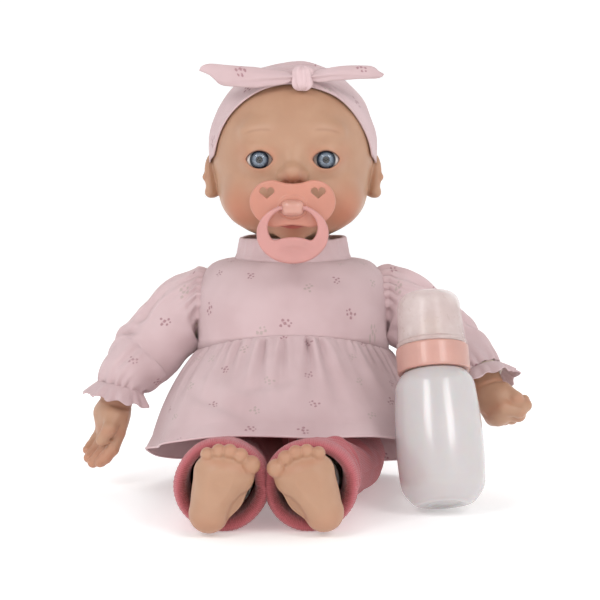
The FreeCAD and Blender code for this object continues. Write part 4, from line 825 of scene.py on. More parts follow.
def tailSurface(tail):
    def surface(u, v):
        # u runs round the folded strip, v from the knot to the tip
        turn = u * 2 * math.pi
        half = np.interp(v, [0, 0.45, 1], [w / 2 for w in tail["wide"]])
        tip = np.sqrt(np.clip(1 - np.clip((v - 0.86) / 0.14, 0, 1) ** 2, 0, 1))
        start = 0.55 + 0.45 * smooth(v, 0, 0.12)
        up = np.cos(turn)
        out = np.sin(turn)
        thick = (1.9 - 0.7 * v) * (0.35 + 0.65 * tip)
        reach = tail["long"] * v + tail["slant"] * up * v ** 2 * 0.5
        x = tail["sign"] * (5.0 + reach)
        z = half * up * (0.25 + 0.75 * tip) * start + tail["rise"] * v + tail["droop"] * np.sin(v * 3.1)
        pleats = 0.55 * np.sin(up * 5.2 + 0.6) * (1 - v) ** 1.5 + 0.7 * np.exp(-((up - 0.2 + v
                * 0.9) / 0.16) ** 2) * (1 - v)
        y = -thick * out + np.sign(out) * -pleats * (np.abs(out) > 0.05) - 1.2 * np.sin(v
                * 2.4) + 2.2 * v ** 2
        return knot["at"][0] + x, knot["at"][1] + 0.4 + y, knot["at"][2] + 0.6 + z
    return surface


for sideName, tail in tails.items():
    tailPiece = cloth(f"bow_tail_{sideName}", tailSurface(tail), 64, 60, printCotton, (22, tail["long"]),
                      True, 0.7)
    settle(tailPiece, "head", "print_cotton", "headband_bow")
print("headband made")

# dress: collar, yoke and gathered skirt

dress = dict(midY=4, collarZ=(134.0, 147.8), collarRadius=(34.2, 31.4), seamWide=56.5, seamDeep=45.4,
             seamY=3.2,
             side=57.4, seamSide=80.5, archFront=12.5, archBack=7.0, hemWide=86.5, hemDeep=69.5, hemY=-19,
             hemZ=22.5, tilt=15.8, floor=1.2)


def collarSurface(u, v):
    turn = u * 2 * math.pi
    low, top = dress["collarRadius"]
    z0, z1 = dress["collarZ"]
    # up the outside, over the fold and down the inside
    climb = np.interp(v, [0, 0.52, 0.6, 1], [0, 1, 1, 0.1])
    inside = smooth(v, 0.5, 0.62)
    pucker = 0.35 * np.sin(turn * 13 + 2 * np.sin(turn * 2)) + 0.25 * np.sin(turn * 29 + v * 3)
    radius = low + (top - low) * climb - 2.1 * inside + pucker * (0.4 + 0.6 * climb)
    radius = radius + 0.5 * np.exp(-((climb - 0.16) / 0.07) ** 2) * (1 - inside)
    sag = 0.5 * np.sin(turn * 3 + 1) * climb
    return radius * np.cos(turn), dress["midY"] + radius * np.sin(turn), z0 + (z1 - z0) * climb + sag


collarPiece = cloth("dress_collar_cloth", collarSurface, 240, 34, plainCotton, (200, 28), True, 0.8)
settle(collarPiece, "torso", "print_cotton", "dress_collar")


def seamHeight(turn):
    front = np.clip(-np.sin(turn), 0, 1)
    back = np.clip(np.sin(turn), 0, 1)
    return dress["seamSide"] + dress["archFront"] * front ** 1.6 + dress["archBack"] * back ** 1.6


def yokeSurface(u, v):
    turn = u * 2 * math.pi
    sideways = np.cos(turn) ** 2
    t = v * math.pi / 2
    z0 = dress["collarZ"][0] + 0.4
    fall = 1 - np.maximum(np.cos(t), 0) ** (0.92 - 0.44 * sideways)
    swell = np.sin(t) ** (1.15 - 0.42 * sideways)
    fromR = dress["collarRadius"][0] - 0.3
    wide = fromR + (dress["side"] + 1.4 - fromR) * swell - 2.0 * v ** 5
    deep = fromR + (dress["seamDeep"] - fromR - 0.4) * swell
    z = z0 - (z0 - seamHeight(turn)) * fall
    middle = dress["midY"] + (dress["seamY"] - dress["midY"]) * v
    soft = waves(u * 330, v * 70, 0.28, 30, 9, 3) * np.sin(v * math.pi) ** 0.7
    x = (wide + soft) * np.cos(turn)
    y = middle + (deep + soft) * np.sin(turn)
    # the cloth pulls a little towards the arms
    z = z - 0.6 * np.exp(-((v - 0.5) / 0.2) ** 2) * sideways
    return x, y, z


yokePiece = cloth("dress_yoke_cloth", yokeSurface, 260, 70, printCotton, (330, 68), True, 0.9, -1.0)
settle(yokePiece, "torso", "print_cotton", "dress_yoke")

gathers = dict(count=46, seed=8)


def skirtFolds(turn, v):
    # tucks that start sharp at the seam, spread as they fall, and mostly fade before the hem
    dice = np.random.default_rng(gathers["seed"])
    height = np.zeros_like(turn)
    for number in range(gathers["count"]):
        place = 2 * math.pi * (number + dice.uniform(0.15, 0.85)) / gathers["count"]
        depth, lean, reach = dice.uniform(0.5, 1.5), dice.uniform(-0.10, 0.10), dice.uniform(0.18, 0.75)
        width = (0.030 + 0.075 * v) * dice.uniform(0.7, 1.3)
        off = (turn - place - lean * v + math.pi) % (2 * math.pi) - math.pi
        fade = np.exp(-(v / reach) ** 2) * smooth(v, -0.02, 0.05)
        height += depth * fade * (0.5 * np.exp(-((np.abs(off) - 1.7 * width) / width) ** 2)
                                  - np.exp(-(off / width) ** 2))
    for place, lean, depth, width in ((4.43, 0.04, 3.0, 0.035), (4.86, -0.02, 2.6, 0.035),
                                      (4.62, 0.0, 1.6, 0.03),
                                      (4.98, 0.10, 2.2, 0.04), (5.22, 0.16, 1.6, 0.05),
                                      (4.18, -0.12, 1.4, 0.05)):
        off = (turn - place - lean * v + math.pi) % (2 * math.pi) - math.pi
        grow = width * (0.8 + 1.3 * v)
        height += depth * np.exp(-(v / 0.62) ** 2) * smooth(v, 0, 0.06) * (
            0.6 * np.exp(-((np.abs(off) - 1.9 * grow) / grow) ** 2) - np.exp(-(off / grow) ** 2))
    slow = (1.5 * np.sin(turn * 5 + 0.8) + 1.2 * np.sin(turn * 8 + 2.1) + 0.7 * np.sin(turn * 13 + 4))
    return height + slow * v ** 1.5 * 1.25


def skirtSurface(u, v):
    turn = u * 2 * math.pi
    tilt = math.radians(dress["tilt"])
    topX, topY = dress["seamWide"] * np.cos(turn), dress["seamY"] + dress["seamDeep"] * np.sin(turn)
    topZ = seamHeight(turn) + 0.3
    hemX = dress["hemWide"] * np.cos(turn)
    hemY = dress["hemY"] + dress["hemDeep"] * np.sin(turn) * math.cos(tilt)
    hemZ = dress["hemZ"] - dress["hemDeep"] * np.sin(turn) * math.sin(tilt)
    puff = 3.2 * np.sin(math.pi * np.minimum(v * 1.15, 1)) ** 0.9
    folds = skirtFolds(turn, v)
    outX, outY = np.cos(turn), np.sin(turn) * 0.9
    x = topX + (hemX - topX) * v + (puff + folds) * outX
    y = topY + (hemY - topY) * v + (puff + folds) * outY
    z = topZ + (hemZ - topZ) * v + 0.25 * (puff + folds)
    z = z + 0.9 * np.sin(turn * 6 + 1.0) * v ** 2
    # a crosswise drape on the doll's right thigh
    z = z + creases((turn - 4.2) * 70, v * 62, [(-6, 40, 28, 46, 1.6, 4.0), (24, 30, -12, 36, 1.0, 3.5)])
    return x, y, np.maximum(z, dress["floor"])


skirtPiece = cloth("dress_skirt_cloth", skirtSurface, 520, 90, printCotton, (500, 88), True, 0.9)
settle(skirtPiece, "torso", "print_cotton", "dress_skirt")


def seamCord(name, path, radius, finish, body, slot):
    # a sewn ridge that follows a closed path of points
    count, around = len(path), 8
    ahead, behind = np.roll(path, -1, 0), np.roll(path, 1, 0)
    along = ahead - behind
    along /= np.linalg.norm(along, axis=1)[:, None]
    up = np.array([0, 0, 1.0])
    out = np.cross(along, up)
    out /= np.linalg.norm(out, axis=1)[:, None]
    rise = np.cross(out, along)
    angle = np.linspace(0, 2 * math.pi, around, endpoint=False)
    points = (path[:, None] + radius * (np.cos(angle)[None, :, None] * out[:, None]
                                        + np.sin(angle)[None, :, None] * rise[:, None])).reshape(-1, 3)
    i, j = np.meshgrid(np.arange(count), np.arange(around), indexing="ij")
    k, m = (i + 1) % count, (j + 1) % around
    faces = np.stack([i * around + j, k * around + j, k * around + m, i * around + m], -1).reshape(-1, 4)
    return settle(finished(name, points, faces, finish), body, slot)


seamTurn = np.linspace(0, 1, 361)[:-1]
seamLine = np.stack(yokeSurface(seamTurn, np.full(360, 0.995)), -1)
seamCord("dress_waist_seam", seamLine + (0, 0, 0.2), 0.55, plainCotton, "torso", "print_cotton")
hemLine = np.stack(skirtSurface(seamTurn, np.full(360, 1.0)), -1)
seamCord("dress_hem_roll", hemLine + (0, 0, 0.15), 0.75, plainCotton, "torso", "print_cotton")
print("dress made")

# sleeves, cuffs and hands

arms = {
    "left": dict(sign=-1, shoulder=(-57.5, 8, 110), elbow=(-91, 2, 74), cuff=(-102, -6, 63),
                 wrist=(-105, -8, 54),
                 lean=(12.8, -5.2), spin=-52, curl=14,
                 folds=[(16, 62, 4, 30, 2.0, 3.2), (24, 52, -8, 26, 2.2, 2.6), (36, 66, 24, 26, 2.6, 2.8),
                        (45, 56, 62, 24, 2.6, 2.6), (54, 70, 74, 22, 1.8, 2.4), (58, 40, 8, 22, 1.6, 2.4),
                        (10, 84, -6, 24, 1.6, 2.6), (30, 90, 20, 26, 1.4, 3.0)]),
    "right": dict(sign=1, shoulder=(57.5, 8, 110), elbow=(88, -2, 86), cuff=(106, -19, 73),
                  wrist=(113, -28, 65),
                  lean=(-22, -28.7), spin=118, curl=62,
                  folds=[(14, 66, 2, 30, 2.4, 3.0), (22, 56, 12, 30, 2.4, 2.8),
                         (34, 70, -14, 24, 1.8, 3.0),
                         (48, 50, 40, 22, 1.8, 2.6), (60, 66, 70, 20, 1.5, 2.4),
                         (26, 20, 4, 26, 1.1, 3.4)]),
}
sleeve = dict(shoulder=20.6, upper=20.5, elbow=20.2, lower=16.4, wrist=12.9, round=128, cap=0.07,
              capDeep=15)


def armLine(arm, s):
    # a smooth centre line through shoulder, elbow and cuff, ending at the wrist
    knots = np.array([arm["shoulder"], arm["elbow"], arm["cuff"],
                      np.array(arm["cuff"]) * 0.35 + np.array(arm["wrist"]) * 0.65], float)
    stops = np.array([0, 0.60, 0.88, 1.0])
    lift = np.array([arm["sign"] * -2.0, 0, 5.0])
    path = np.stack([np.interp(s, stops, knots[:, i]) for i in range(3)], -1)
    return path + lift * (np.sin(np.pi * np.clip(s, 0, 1)) ** 1.2)[..., None] * 0.5


def tubeFrames(line, sign):
    # directions across a line: one level with Y, one square to it
    along = np.gradient(line, axis=0)
    along /= np.linalg.norm(along, axis=1)[:, None]
    blendIn = smooth(np.linspace(0, 1, len(line)), 0.0, 0.28)[:, None]
    along = along * blendIn + np.array([sign, 0.0, 0.0]) * (1 - blendIn)
    along /= np.linalg.norm(along, axis=1)[:, None]
    out = np.cross(along, (0, 1.0, 0))
    out /= np.linalg.norm(out, axis=1)[:, None]
    return out * -sign, np.cross(along, out)


def sleeveSurface(arm):
    def surface(u, v):
        # v below the cap's share closes the shoulder with a rounded end that sits inside the yoke
        cap = np.clip(v / sleeve["cap"], 0, 1) * (math.pi / 2 - 0.5) + 0.5
        v = np.clip((v - sleeve["cap"]) / (1 - sleeve["cap"]), 0, 1)
        steps = np.linspace(0, 1, 121)
        line = armLine(arm, steps)
        kernel = np.hanning(25)
        kernel /= kernel.sum()
        padded = np.concatenate([2 * line[0] - line[12:0:-1], line, 2 * line[-1] - line[-2:-14:-1]])
        line = np.stack([np.convolve(padded[:, i], kernel, "valid") for i in range(3)], -1)
        up, level = tubeFrames(line, arm["sign"])
        turn = u * 2 * math.pi
        along, around = v * 78, u * sleeve["round"]
        radius = np.interp(v, [0, 0.12, 0.35, 0.62, 0.85, 0.95, 1.0],
                           [sleeve["shoulder"] - 0.6, sleeve["shoulder"] + 1.0, sleeve["upper"],
                            sleeve["elbow"],
                            sleeve["lower"], 14.2, sleeve["wrist"]])
        tucks = 0.9 * np.sin(turn * 19 + 2.2 * np.sin(turn * 3)) * np.exp(-(v / 0.13) ** 2)
        elastic = 0.8 * np.sin(turn * 15 + 1.5 * np.sin(turn * 4)) * np.exp(-((1 - v) / 0.10) ** 2)
        soft = waves(along, around, 0.55, 24, 10, 7 + arm["sign"]) * np.sin(np.pi * v) ** 0.5
        folds = creases(along, around, arm["folds"], sleeve["round"])
        r = (radius + tucks + elastic + soft + folds) * np.sin(cap)
        spot = [np.interp(v, steps, line[:, i]) for i in range(3)]
        spot[0] = spot[0] - arm["sign"] * sleeve["capDeep"] * np.cos(cap)
        rise = [np.interp(v, steps, up[:, i]) for i in range(3)]
        flat = [np.interp(v, steps, level[:, i]) for i in range(3)]
        c, s = np.cos(turn), np.sin(turn)
        return tuple(spot[i] + r * (c * rise[i] + 0.97 * s * flat[i]) for i in range(3))
    return surface


def toHand(arm, points):
    # from the hand's own frame, whose origin is the wrist and whose -Z runs to the fingertips
    pitch, roll = arm["lean"]
    return points @ turning(0, pitch, roll).T + np.array(arm["wrist"], float)


def frillSurface(arm):
    def surface(u, v):
        turn = u * 2 * math.pi
        ripple = np.sin(turn * 10 + 1.6 * np.sin(turn * 3 + arm["sign"])) + 0.35 * np.sin(turn * 17 + 1)
        r = 12.2 + 7.0 * v ** 0.8 + 1.5 * ripple * v ** 1.2
        z = 6.2 - 9.0 * v + 0.9 * np.cos(turn * 10 + 2) * v
        local = np.stack([r * np.cos(turn), r * np.sin(turn), z], -1)
        placed = toHand(arm, local)
        return placed[..., 0], placed[..., 1], placed[..., 2]
    return surface


def handField(arm):
    curl = math.radians(arm["curl"])
    fist = arm["curl"] > 40

    def field(p):
        thumbSide = -arm["sign"]
        q = spun(p, arm["wrist"], 0, *arm["lean"])
        q = spun(q, (0, 0, 0), arm["spin"])
        x, y, z = q
        x = x * thumbSide
        q = [x, y, z]
        d = np.maximum(np.sqrt(x ** 2 + y ** 2) - 9.0, np.abs(z - 5.5) - 11)
        d = melt(d, limb(q, (0, 0, 2), (0, 0, -9), 9.2, 9.8), 2)
        d = melt(d, egg(q, (0.3, 0, -15.5), (12.4, 8.6, 13.5)), 4)
        d = melt(d, ball(q, (6.0, -3.5, -13), 6.4), 4)                # heel of the thumb
        d = melt(d, ball(q, (-7.0, -2.0, -12), 6.0), 4)
        fingers = None
        for number, (place, size, length) in enumerate(((8.2, 3.9, 1.0), (2.8, 4.0, 1.08),
                                                        (-2.7, 3.8, 1.02),
                                                        (-7.7, 3.4, 0.86))):
            bend = curl * (1 + 0.10 * number)
            knuckle = np.array([place, 0.6, -22.5 + 0.3 * (number - 1) ** 2])
            first = np.array([0.02 * place, -math.sin(bend), -math.cos(bend)]) * 9.5 * length
            second = np.array([-0.02 * place, -math.sin(bend * 1.9),
                               -math.cos(bend * 1.9)]) * 6.5 * length
            third = np.array([-0.03 * place, -math.sin(bend * 2.6), -math.cos(bend * 2.6)]) * 4.0 * length
            a, b = knuckle + first, knuckle + first + second
            one = melt(limb(q, knuckle, a, size + 0.5, size), limb(q, a, b, size, size - 0.2), 0.8)
            one = melt(one, limb(q, b, b + third, size - 0.2, size - 0.7), 0.8)
            nail = egg(q, b + third * 0.9 + (0, size * 0.62, -0.4), (1.9, 1.2, 2.3))
            one = melt(one, nail, 0.5)
            fingers = one if fingers is None else melt(fingers, one, 0.9)
        d = melt(d, fingers, 2.6)
        thumb = melt(limb(q, (8.0, -4.5, -12), (11.2, -8.0, -19.5), 5.0, 4.2),
                     limb(q, (11.2, -8.0, -19.5), (8.6 if not fist else 5.0, -9.8, -27.5), 4.2, 3.4), 1.2)
        thumb = melt(thumb, egg(q, (10.6 if not fist else 7.4, -7.4, -27.0), (1.4, 2.0, 2.4)), 0.5)
        d = melt(d, thumb, 1.9)
        for place in (7.4, 2.6, -2.4, -6.8):
            d = scoop(d, ball(q, (place, 9.6, -21.0), 1.5), 2.2)      # dimples over the knuckles
        crease = np.sqrt((np.sqrt(x ** 2 + y ** 2) - 10.9) ** 2 + (z + 4.5 + 0.1 * x) ** 2) - 0.7
        return scoop(d, crease, 1.6)
    return field


def paintHand(thing, arm):
    # a little warmth at the fingertips, knuckles and wrist crease
    local = (corners(thing).T - np.array(arm["wrist"])) @ turning(0, *arm["lean"])
    z = local[:, 2]
    warmth = 0.55 * smooth(-z, 26, 36) + 0.35 * np.exp(-((z + 21.5) / 2.6) ** 2) + 0.4 * np.exp(-((z
            + 4.5) / 1.6) ** 2)
    paint(thing, "blush", np.clip(warmth, 0, 1))


for sideName, arm in arms.items():
    sleevePiece = cloth(f"sleeve_{sideName}_cloth", sleeveSurface(arm), 260, 150, printCotton,
                        (sleeve["round"], 80), True, 0.9, -1.0)
    settle(sleevePiece, f"arm_{sideName}_body", "print_cotton", f"sleeve_{sideName}")
    frillPiece = cloth(f"cuff_frill_{sideName}", frillSurface(arm), 300, 18, plainCotton, (120, 12), True,
                       0.7)
    settle(frillPiece, f"arm_{sideName}_body", "print_cotton", f"sleeve_frill_{sideName}")
    tip = toHand(arm, np.array([[-22, -22, -46], [22, 22, -46], [-22, 22, 18], [22, -22, 18],
                                [-22, -22, 18],
                                [22, 22, 18], [22, -22, -46], [-22, 22, -46]], float))
    handPiece = moulded(f"hand_{sideName}_vinyl", handField(arm), tip.min(0), tip.max(0), 0.5, limbVinyl)
    paintHand(handPiece, arm)
    settle(handPiece, f"hand_{sideName}_body", "vinyl_skin", f"hand_{sideName}")
print("arms made")

# trousers and feet

knitLook = dict(base=tint(192, 106, 112), deep=tint(152, 70, 76), light=tint(208, 124, 130), rib=0.0011)


def knitFinish():
    # fine jersey: columns of small stitches
    finish = Finish("rose_knit", Sheen_Weight=0.3, Sheen_Roughness=0.45, Specular_IOR_Level=0.2)
    across, along, _ = finish.split(finish.node("ShaderNodeTexCoord", output=2))
    column = (across * (2 * math.pi / knitLook["rib"])).sine()
    stitch = ((along * (2 * math.pi / (knitLook["rib"] * 0.8))) + column * 1.2).sine()
    pattern = column * 0.6 + stitch * 0.4
    cloud = finish.noise(50, 3).between(0.3, 0.75)
    colour = finish.mix(cloud * 0.55, knitLook["base"], knitLook["light"])
    colour = finish.mix((0.5 - pattern * 0.5) * 0.45, colour, knitLook["deep"])
    finish.feed("Base Color", colour)
    finish.feed("Roughness", 0.86 + 0.08 * finish.noise(300, 2))
    finish.bump(pattern + finish.noise(80, 3) * 2.5, 0.00018, 0.8)
    return finish


roseKnit = knitFinish()
legs = {
    "left": dict(sign=-1, line=[(-29.5, 5, 20), (-35.5, -22, 20), (-37, -50, 20), (-37, -98, 21),
                                (-37.4, -130, 23.6), (-37.8, -149, 24.7)],
                 shin=-37.6, tilt=14, body="left", seed=21,
                 folds=[(118, 22, 80, 34, 1.8, 2.8), (128, 52, 96, 34, 1.6, 2.6),
                        (108, 90, 70, 40, 1.6, 3.2),
                        (134, 105, 90, 30, 1.3, 2.2), (96, 128, 60, 34, 1.6, 3.0),
                        (122, 74, 84, 26, 1.2, 2.4)]),
    "right": dict(sign=1, line=[(29.5, 5, 20), (33, -22, 20), (29, -50, 20), (14.5, -98, 21),
                                (10.6, -130, 23.6), (9.8, -149, 24.7)],
                  shin=9.4, tilt=-20, body="right", seed=23,
                  folds=[(108, 18, 112, 44, 2.6, 3.0), (120, 36, 84, 40, 2.0, 2.6),
                         (128, 12, 96, 34, 1.8, 2.4),
                         (96, 44, 66, 44, 2.2, 3.4), (112, 100, 92, 36, 1.5, 2.8),
                         (84, 26, 70, 40, 1.6, 3.4)]),
}
leg = dict(around=150, long=160, floor=0.35, mouth=24.6, lining=19.6, cap=0.1)


def trouserSurface(side):
    def surface(u, v):
        # v below 0.86 runs from the hip to the hem, then folds in and back up as the lining
        turn = u * 2 * math.pi
        knots = np.array(side["line"], float)
        stops = [0, 0.18, 0.37, 0.68, 0.88, 1.0]
        cap = np.clip(v / leg["cap"], 0, 1) * math.pi / 2 * 0.985 + 0.0236   # the rounded hip
        w = np.clip((v - leg["cap"]) / (0.86 - leg["cap"]), 0, 1)
        back = smooth(v, 0.86, 1.0)
        mid = [np.interp(w, stops, knots[:, i]) for i in range(3)]
        wide = np.interp(w, [0, 0.15, 0.40, 0.68, 0.86, 0.95, 1.0],
                         [23.2, 21.5, 21.6, 22.8, 24.4, 24.9, 24.2])
        tall = np.interp(w, [0, 0.15, 0.40, 0.68, 0.86, 0.95, 1.0],
                         [18.9, 18.6, 18.2, 19.6, 23.2, 24.2, 23.9])
        rows = 0.45 * np.exp(-((w - 0.952) / 0.012) ** 2) * -1.6 + 0.5 * np.exp(-((w
                - 0.975) / 0.012) ** 2)
        rows = rows + 0.10 * np.sin(turn * 60) * smooth(w, 0.93, 0.96) * (1 - back)
        turnIn = smooth(v, 0.845, 0.90)
        soft = waves(w * leg["long"], u * leg["around"], 0.7, 34, 10, side["seed"]) * np.sin(np.pi
                * np.clip(w, 0, 0.93)) ** 0.6
        folds = creases(w * leg["long"], u * leg["around"], side["folds"], leg["around"]) * (1 - turnIn)
        shrink = (leg["mouth"] - leg["lining"]) * turnIn + 1.4 * back
        rx, rz = wide + soft + folds + rows - shrink, tall + soft + folds + rows - shrink
        rx, rz = rx * np.sin(cap), rz * np.sin(cap)
        x = mid[0] + rx * np.cos(turn)
        z = mid[2] + rz * np.sin(turn)
        y = mid[1] + 18.9 * np.cos(cap) + 26 * back - 1.4 * np.sin(np.pi
                * np.clip((v - 0.845) / 0.055, 0, 1))
        y = y + 1.1 * np.sin(turn * 3 + side["seed"]) * smooth(w, 0.8, 1.0) * (1 - back)
        return x, y, np.maximum(z, leg["floor"] + 0.9 * turnIn)
    return surface


foot = dict(y=-163, z=25.6, soleFront=-9.3, thick=10.0)


def footField(side):
    def field(p):
        x, y, z = p
        shin = np.sqrt((x - side["shin"]) ** 2 + (z - 23) ** 2) - 12.9
        shin = np.maximum(shin, np.maximum(-160 - y, y + 112.5))
        q = spun(p, (side["shin"], foot["y"], foot["z"]), 0, side["tilt"])
        inward = -side["sign"]
        a, b, c = q[0] * inward, q[1], q[2]
        q = [a, b, c]                      # a runs to the big toe's side, c to the toes
        d = limb(q, (-2.6, 1.5, -14.2), (-1.6, 1.5, 4), 10.6, 11.2)           # heel and outer edge
        d = melt(d, egg(q, (0.2, 0.5, 8.0), (15.9, 9.6, 11.4)), 5)          # ball of the foot
        d = melt(d, limb(q, (-1, 4, -2), (0, 22, 0), 11.5, 12.5), 6)          # instep and ankle
        d = scoop(d, ball(q, (17.5, 0, -9.5), 8.6), 6)                       # arch
        d = np.maximum(d, foot["soleFront"] - b)
        toes = None
        for place, up, size in ((12.6, 17.0, 4.9), (6.1, 20.3, 4.1), (0.2, 21.2, 3.9), (-5.5, 20.0, 3.7),
                                (-10.9, 17.0, 3.5)):
            one = melt(ball(q, (place, -4.0, up), size),
                       limb(q, (place * 0.86, 0.5, up - 8), (place, -2.6, up - 0.6),
                                                                size * 0.85, size * 0.82), 1.4)
            toes = one if toes is None else melt(toes, one, 0.7)
        d = melt(d, toes, 1.7)
        crease = limb(q, (12.5, -10.4, 11.6), (0.0, -11.0, 15.2), 0.9, 0.9)
        crease = np.minimum(crease, limb(q, (0.0, -11.0, 15.2), (-11.5, -10.4, 12.0), 0.9, 0.9))
        d = scoop(d, crease, 2.2)
        d = scoop(d, limb(q, (13, -10.2, 2), (-9, -10.6, 4.6), 0.25, 0.25), 1.6)
        d = melt(d, shin, 4)
        return np.maximum(d, 0.25 - z)
    return field


def paintFoot(thing, side):
    local = (corners(thing).T - np.array((side["shin"], foot["y"], foot["z"]))) @ turning(0, side["tilt"],
            0)
    z, y = local[:, 2], local[:, 1]
    warmth = 0.42 * smooth(z, 15, 23) + 0.30 * np.exp(-((z + 20) / 6) ** 2)
    warmth += 0.35 * np.exp(-((z - 14) / 2.2) ** 2) * smooth(-y, 2, 7)
    paint(thing, "blush", np.clip(warmth, 0, 1))


for sideName, side in legs.items():
    trouserPiece = cloth(f"trouser_leg_{sideName}_cloth", trouserSurface(side), 280, 200, roseKnit,
                         (leg["around"], leg["long"] + 26), True, 0.8)
    settle(trouserPiece, f"leg_{sideName}_body", "rose_knit", f"trouser_leg_{sideName}")
    spot = np.array([side["shin"], foot["y"], foot["z"]])
    footPiece = moulded(f"foot_{sideName}_vinyl", footField(side), spot + (-24, -14, -27), spot
                        + (24, 54, 30), 0.5,
                        limbVinyl)
    paintFoot(footPiece, side)
    settle(footPiece, f"foot_{sideName}_body", "vinyl_skin", f"foot_{sideName}")
print("legs made")

# stuffed body, seat and ties

trunkForm = dict(belly=((0, 2, 66), (54, 42, 78)), chest=((0, 6, 112), (60, 24, 22)),
                 seat=((0, 16, 30), (56, 26, 36)),
                 throat=22.3, throatTop=147, back=31.5, backFrom=36, window=(28.5, 41.7, 99.0), step=0.9)


def boxField(p, low, high):
    x, y, z = p
    gaps = [np.maximum(low[i] - q, q - high[i]) for i, q in enumerate((x, y, z))]
    return np.maximum(np.maximum(gaps[0], gaps[1]), gaps[2])


def trunkField(p, grow, shoulder, hip):
    # the stuffed trunk, hollowed for the arms and for the legs and their swing
    x, y, z = p
    d = egg(p, *trunkForm["belly"])
    d = melt(d, egg(p, *trunkForm["chest"]), 4)
    d = melt(d, egg(p, *trunkForm["seat"]), 4)
    throat = np.maximum(np.sqrt(x ** 2 + (y - 5) ** 2) - trunkForm["throat"],
                        np.maximum(100 - z, z - trunkForm["throatTop"]))
    d = melt(d, throat, 4)
    d = melt(d, boxField(p, (-31, 2, 43), (31, trunkForm["back"] - 1.5, 105)), 3)
    d = np.maximum(d, np.minimum(y - trunkForm["back"], z - trunkForm["backFrom"]))
    d = d - grow
    for sign in (-1, 1):
        d = scoop(d, ball(p, (sign * 58, 8, 111), shoulder), 1.5)
        arm = arms["left" if sign < 0 else "right"]
        d = scoop(d, limb(p, (sign * 58, 8, 111), arm["elbow"], shoulder, shoulder), 1.5)
        pit = np.maximum(np.sqrt((y - 5) ** 2 + (z - 20) ** 2) - hip, 2.6 - sign * x)
        swing = boxField(p, (-120, -80, -30), (120, 5 + hip, 20))
        swing = np.minimum(swing, boxField(p, (-120, -80, -30), (120, 5, 20 + hip)))
        d = scoop(d, np.minimum(pit, np.maximum(swing, 2.6 - sign * x)), 1.0)
    return d


def torsoField(p):
    d = trunkField(p, 0, 21.8, 21.2)
    d = np.maximum(d, 2.0 - p[2])
    half, low, high = trunkForm["window"]
    d = np.maximum(d, -boxField(p, (-31, 1, 43), (31, 29.7, 105)))
    d = np.maximum(d, -boxField(p, (-half, 20, low), (half, 60, high)))
    bore = np.maximum(np.sqrt(p[0] ** 2 + (p[1] - 5) ** 2) - 19.9, 130.6 - p[2])
    d = np.maximum(d, -bore)
    return d + 0.18 * np.sin(p[2] * 1.9 + 2 * np.sin(p[0] * 0.09))


def seatField(p):
    outside = trunkField(p, 1.8, 20.4, 19.5)
    inside = trunkField(p, 0.35, 21.8, 21.0)
    d = np.maximum(outside, -inside)
    pinch = 0.5 * np.exp(-((p[2] - 47.5) / 1.1) ** 2) * np.sin(np.arctan2(p[0], -p[1]) * 46)
    return np.maximum(np.maximum(d - pinch, 0.15 - p[2]), p[2] - 50)


def bodyClothFinish():
    # plain woven cotton over fibre
    finish = Finish("body_cloth", Sheen_Weight=0.25, Sheen_Roughness=0.5, Specular_IOR_Level=0.2)
    across, along, up = finish.split(finish.place())
    threads = (across * 5200.0).sine() * 0.5 + (up * 5200.0).sine() * 0.5 + (along * 5200.0).sine() * 0.4
    colour = finish.mix(finish.noise(40, 4).between(0.3, 0.75), tint(206, 186, 170), tint(228, 212, 198))
    finish.feed("Base Color", finish.mix((threads * 0.5 + 0.5) * 0.25, colour, tint(184, 162, 146)))
    finish.feed("Roughness", 0.86 + 0.08 * finish.noise(260, 2))
    finish.bump(threads + finish.noise(60, 3) * 4.0, 0.0002, 0.8)
    return finish


bodyCloth = bodyClothFinish()
torsoPiece = moulded("torso_stuffed", torsoField, (-64, -44, -2), (64, 46, 150), trunkForm["step"],
                     bodyCloth)
settle(torsoPiece, "torso", "body_cloth", "torso_cloth", "torso_stuffing")
seatPiece = moulded("trouser_seat_cloth", seatField, (-62, -46, -2), (62, 48, 53), 0.6, roseKnit)
settle(seatPiece, "torso", "rose_knit", "trouser_seat")


for sideName, arm in arms.items():
    def armField(p, arm=arm):
        top = toHand(arm, np.array([[0.0, 0.0, 15.0]]))[0]
        low = toHand(arm, np.array([[0.0, 0.0, 3.4]]))[0]
        d = melt(limb(p, arm["shoulder"], arm["elbow"], 15.4, 15.4),
                 limb(p, arm["elbow"], arm["cuff"], 15.4, 12.2), 5)
        d = melt(d, limb(p, top, low, 10.2, 10.2), 3)
        q = spun(p, arm["wrist"], 0, *arm["lean"])
        d = np.maximum(d, 2.4 - q[2])
        tie = np.sqrt((np.sqrt(q[0] ** 2 + q[1] ** 2) - 11.6) ** 2 + (q[2] - 3.5) ** 2) - 0.7
        d = scoop(d, tie, 1.2)
        bore = np.maximum(np.sqrt(q[0] ** 2 + q[1] ** 2) - 9.4, q[2] - 16.4)
        return np.maximum(d, -bore)
    spots = np.array([arm["shoulder"], arm["elbow"], arm["wrist"]], float)
    armPiece = moulded(f"arm_{sideName}_stuffed", armField, spots.min(0) - 22, spots.max(0) + 22, 1.0,
                       bodyCloth)
    settle(armPiece, f"arm_{sideName}_body", "body_cloth", f"arm_cloth_{sideName}")

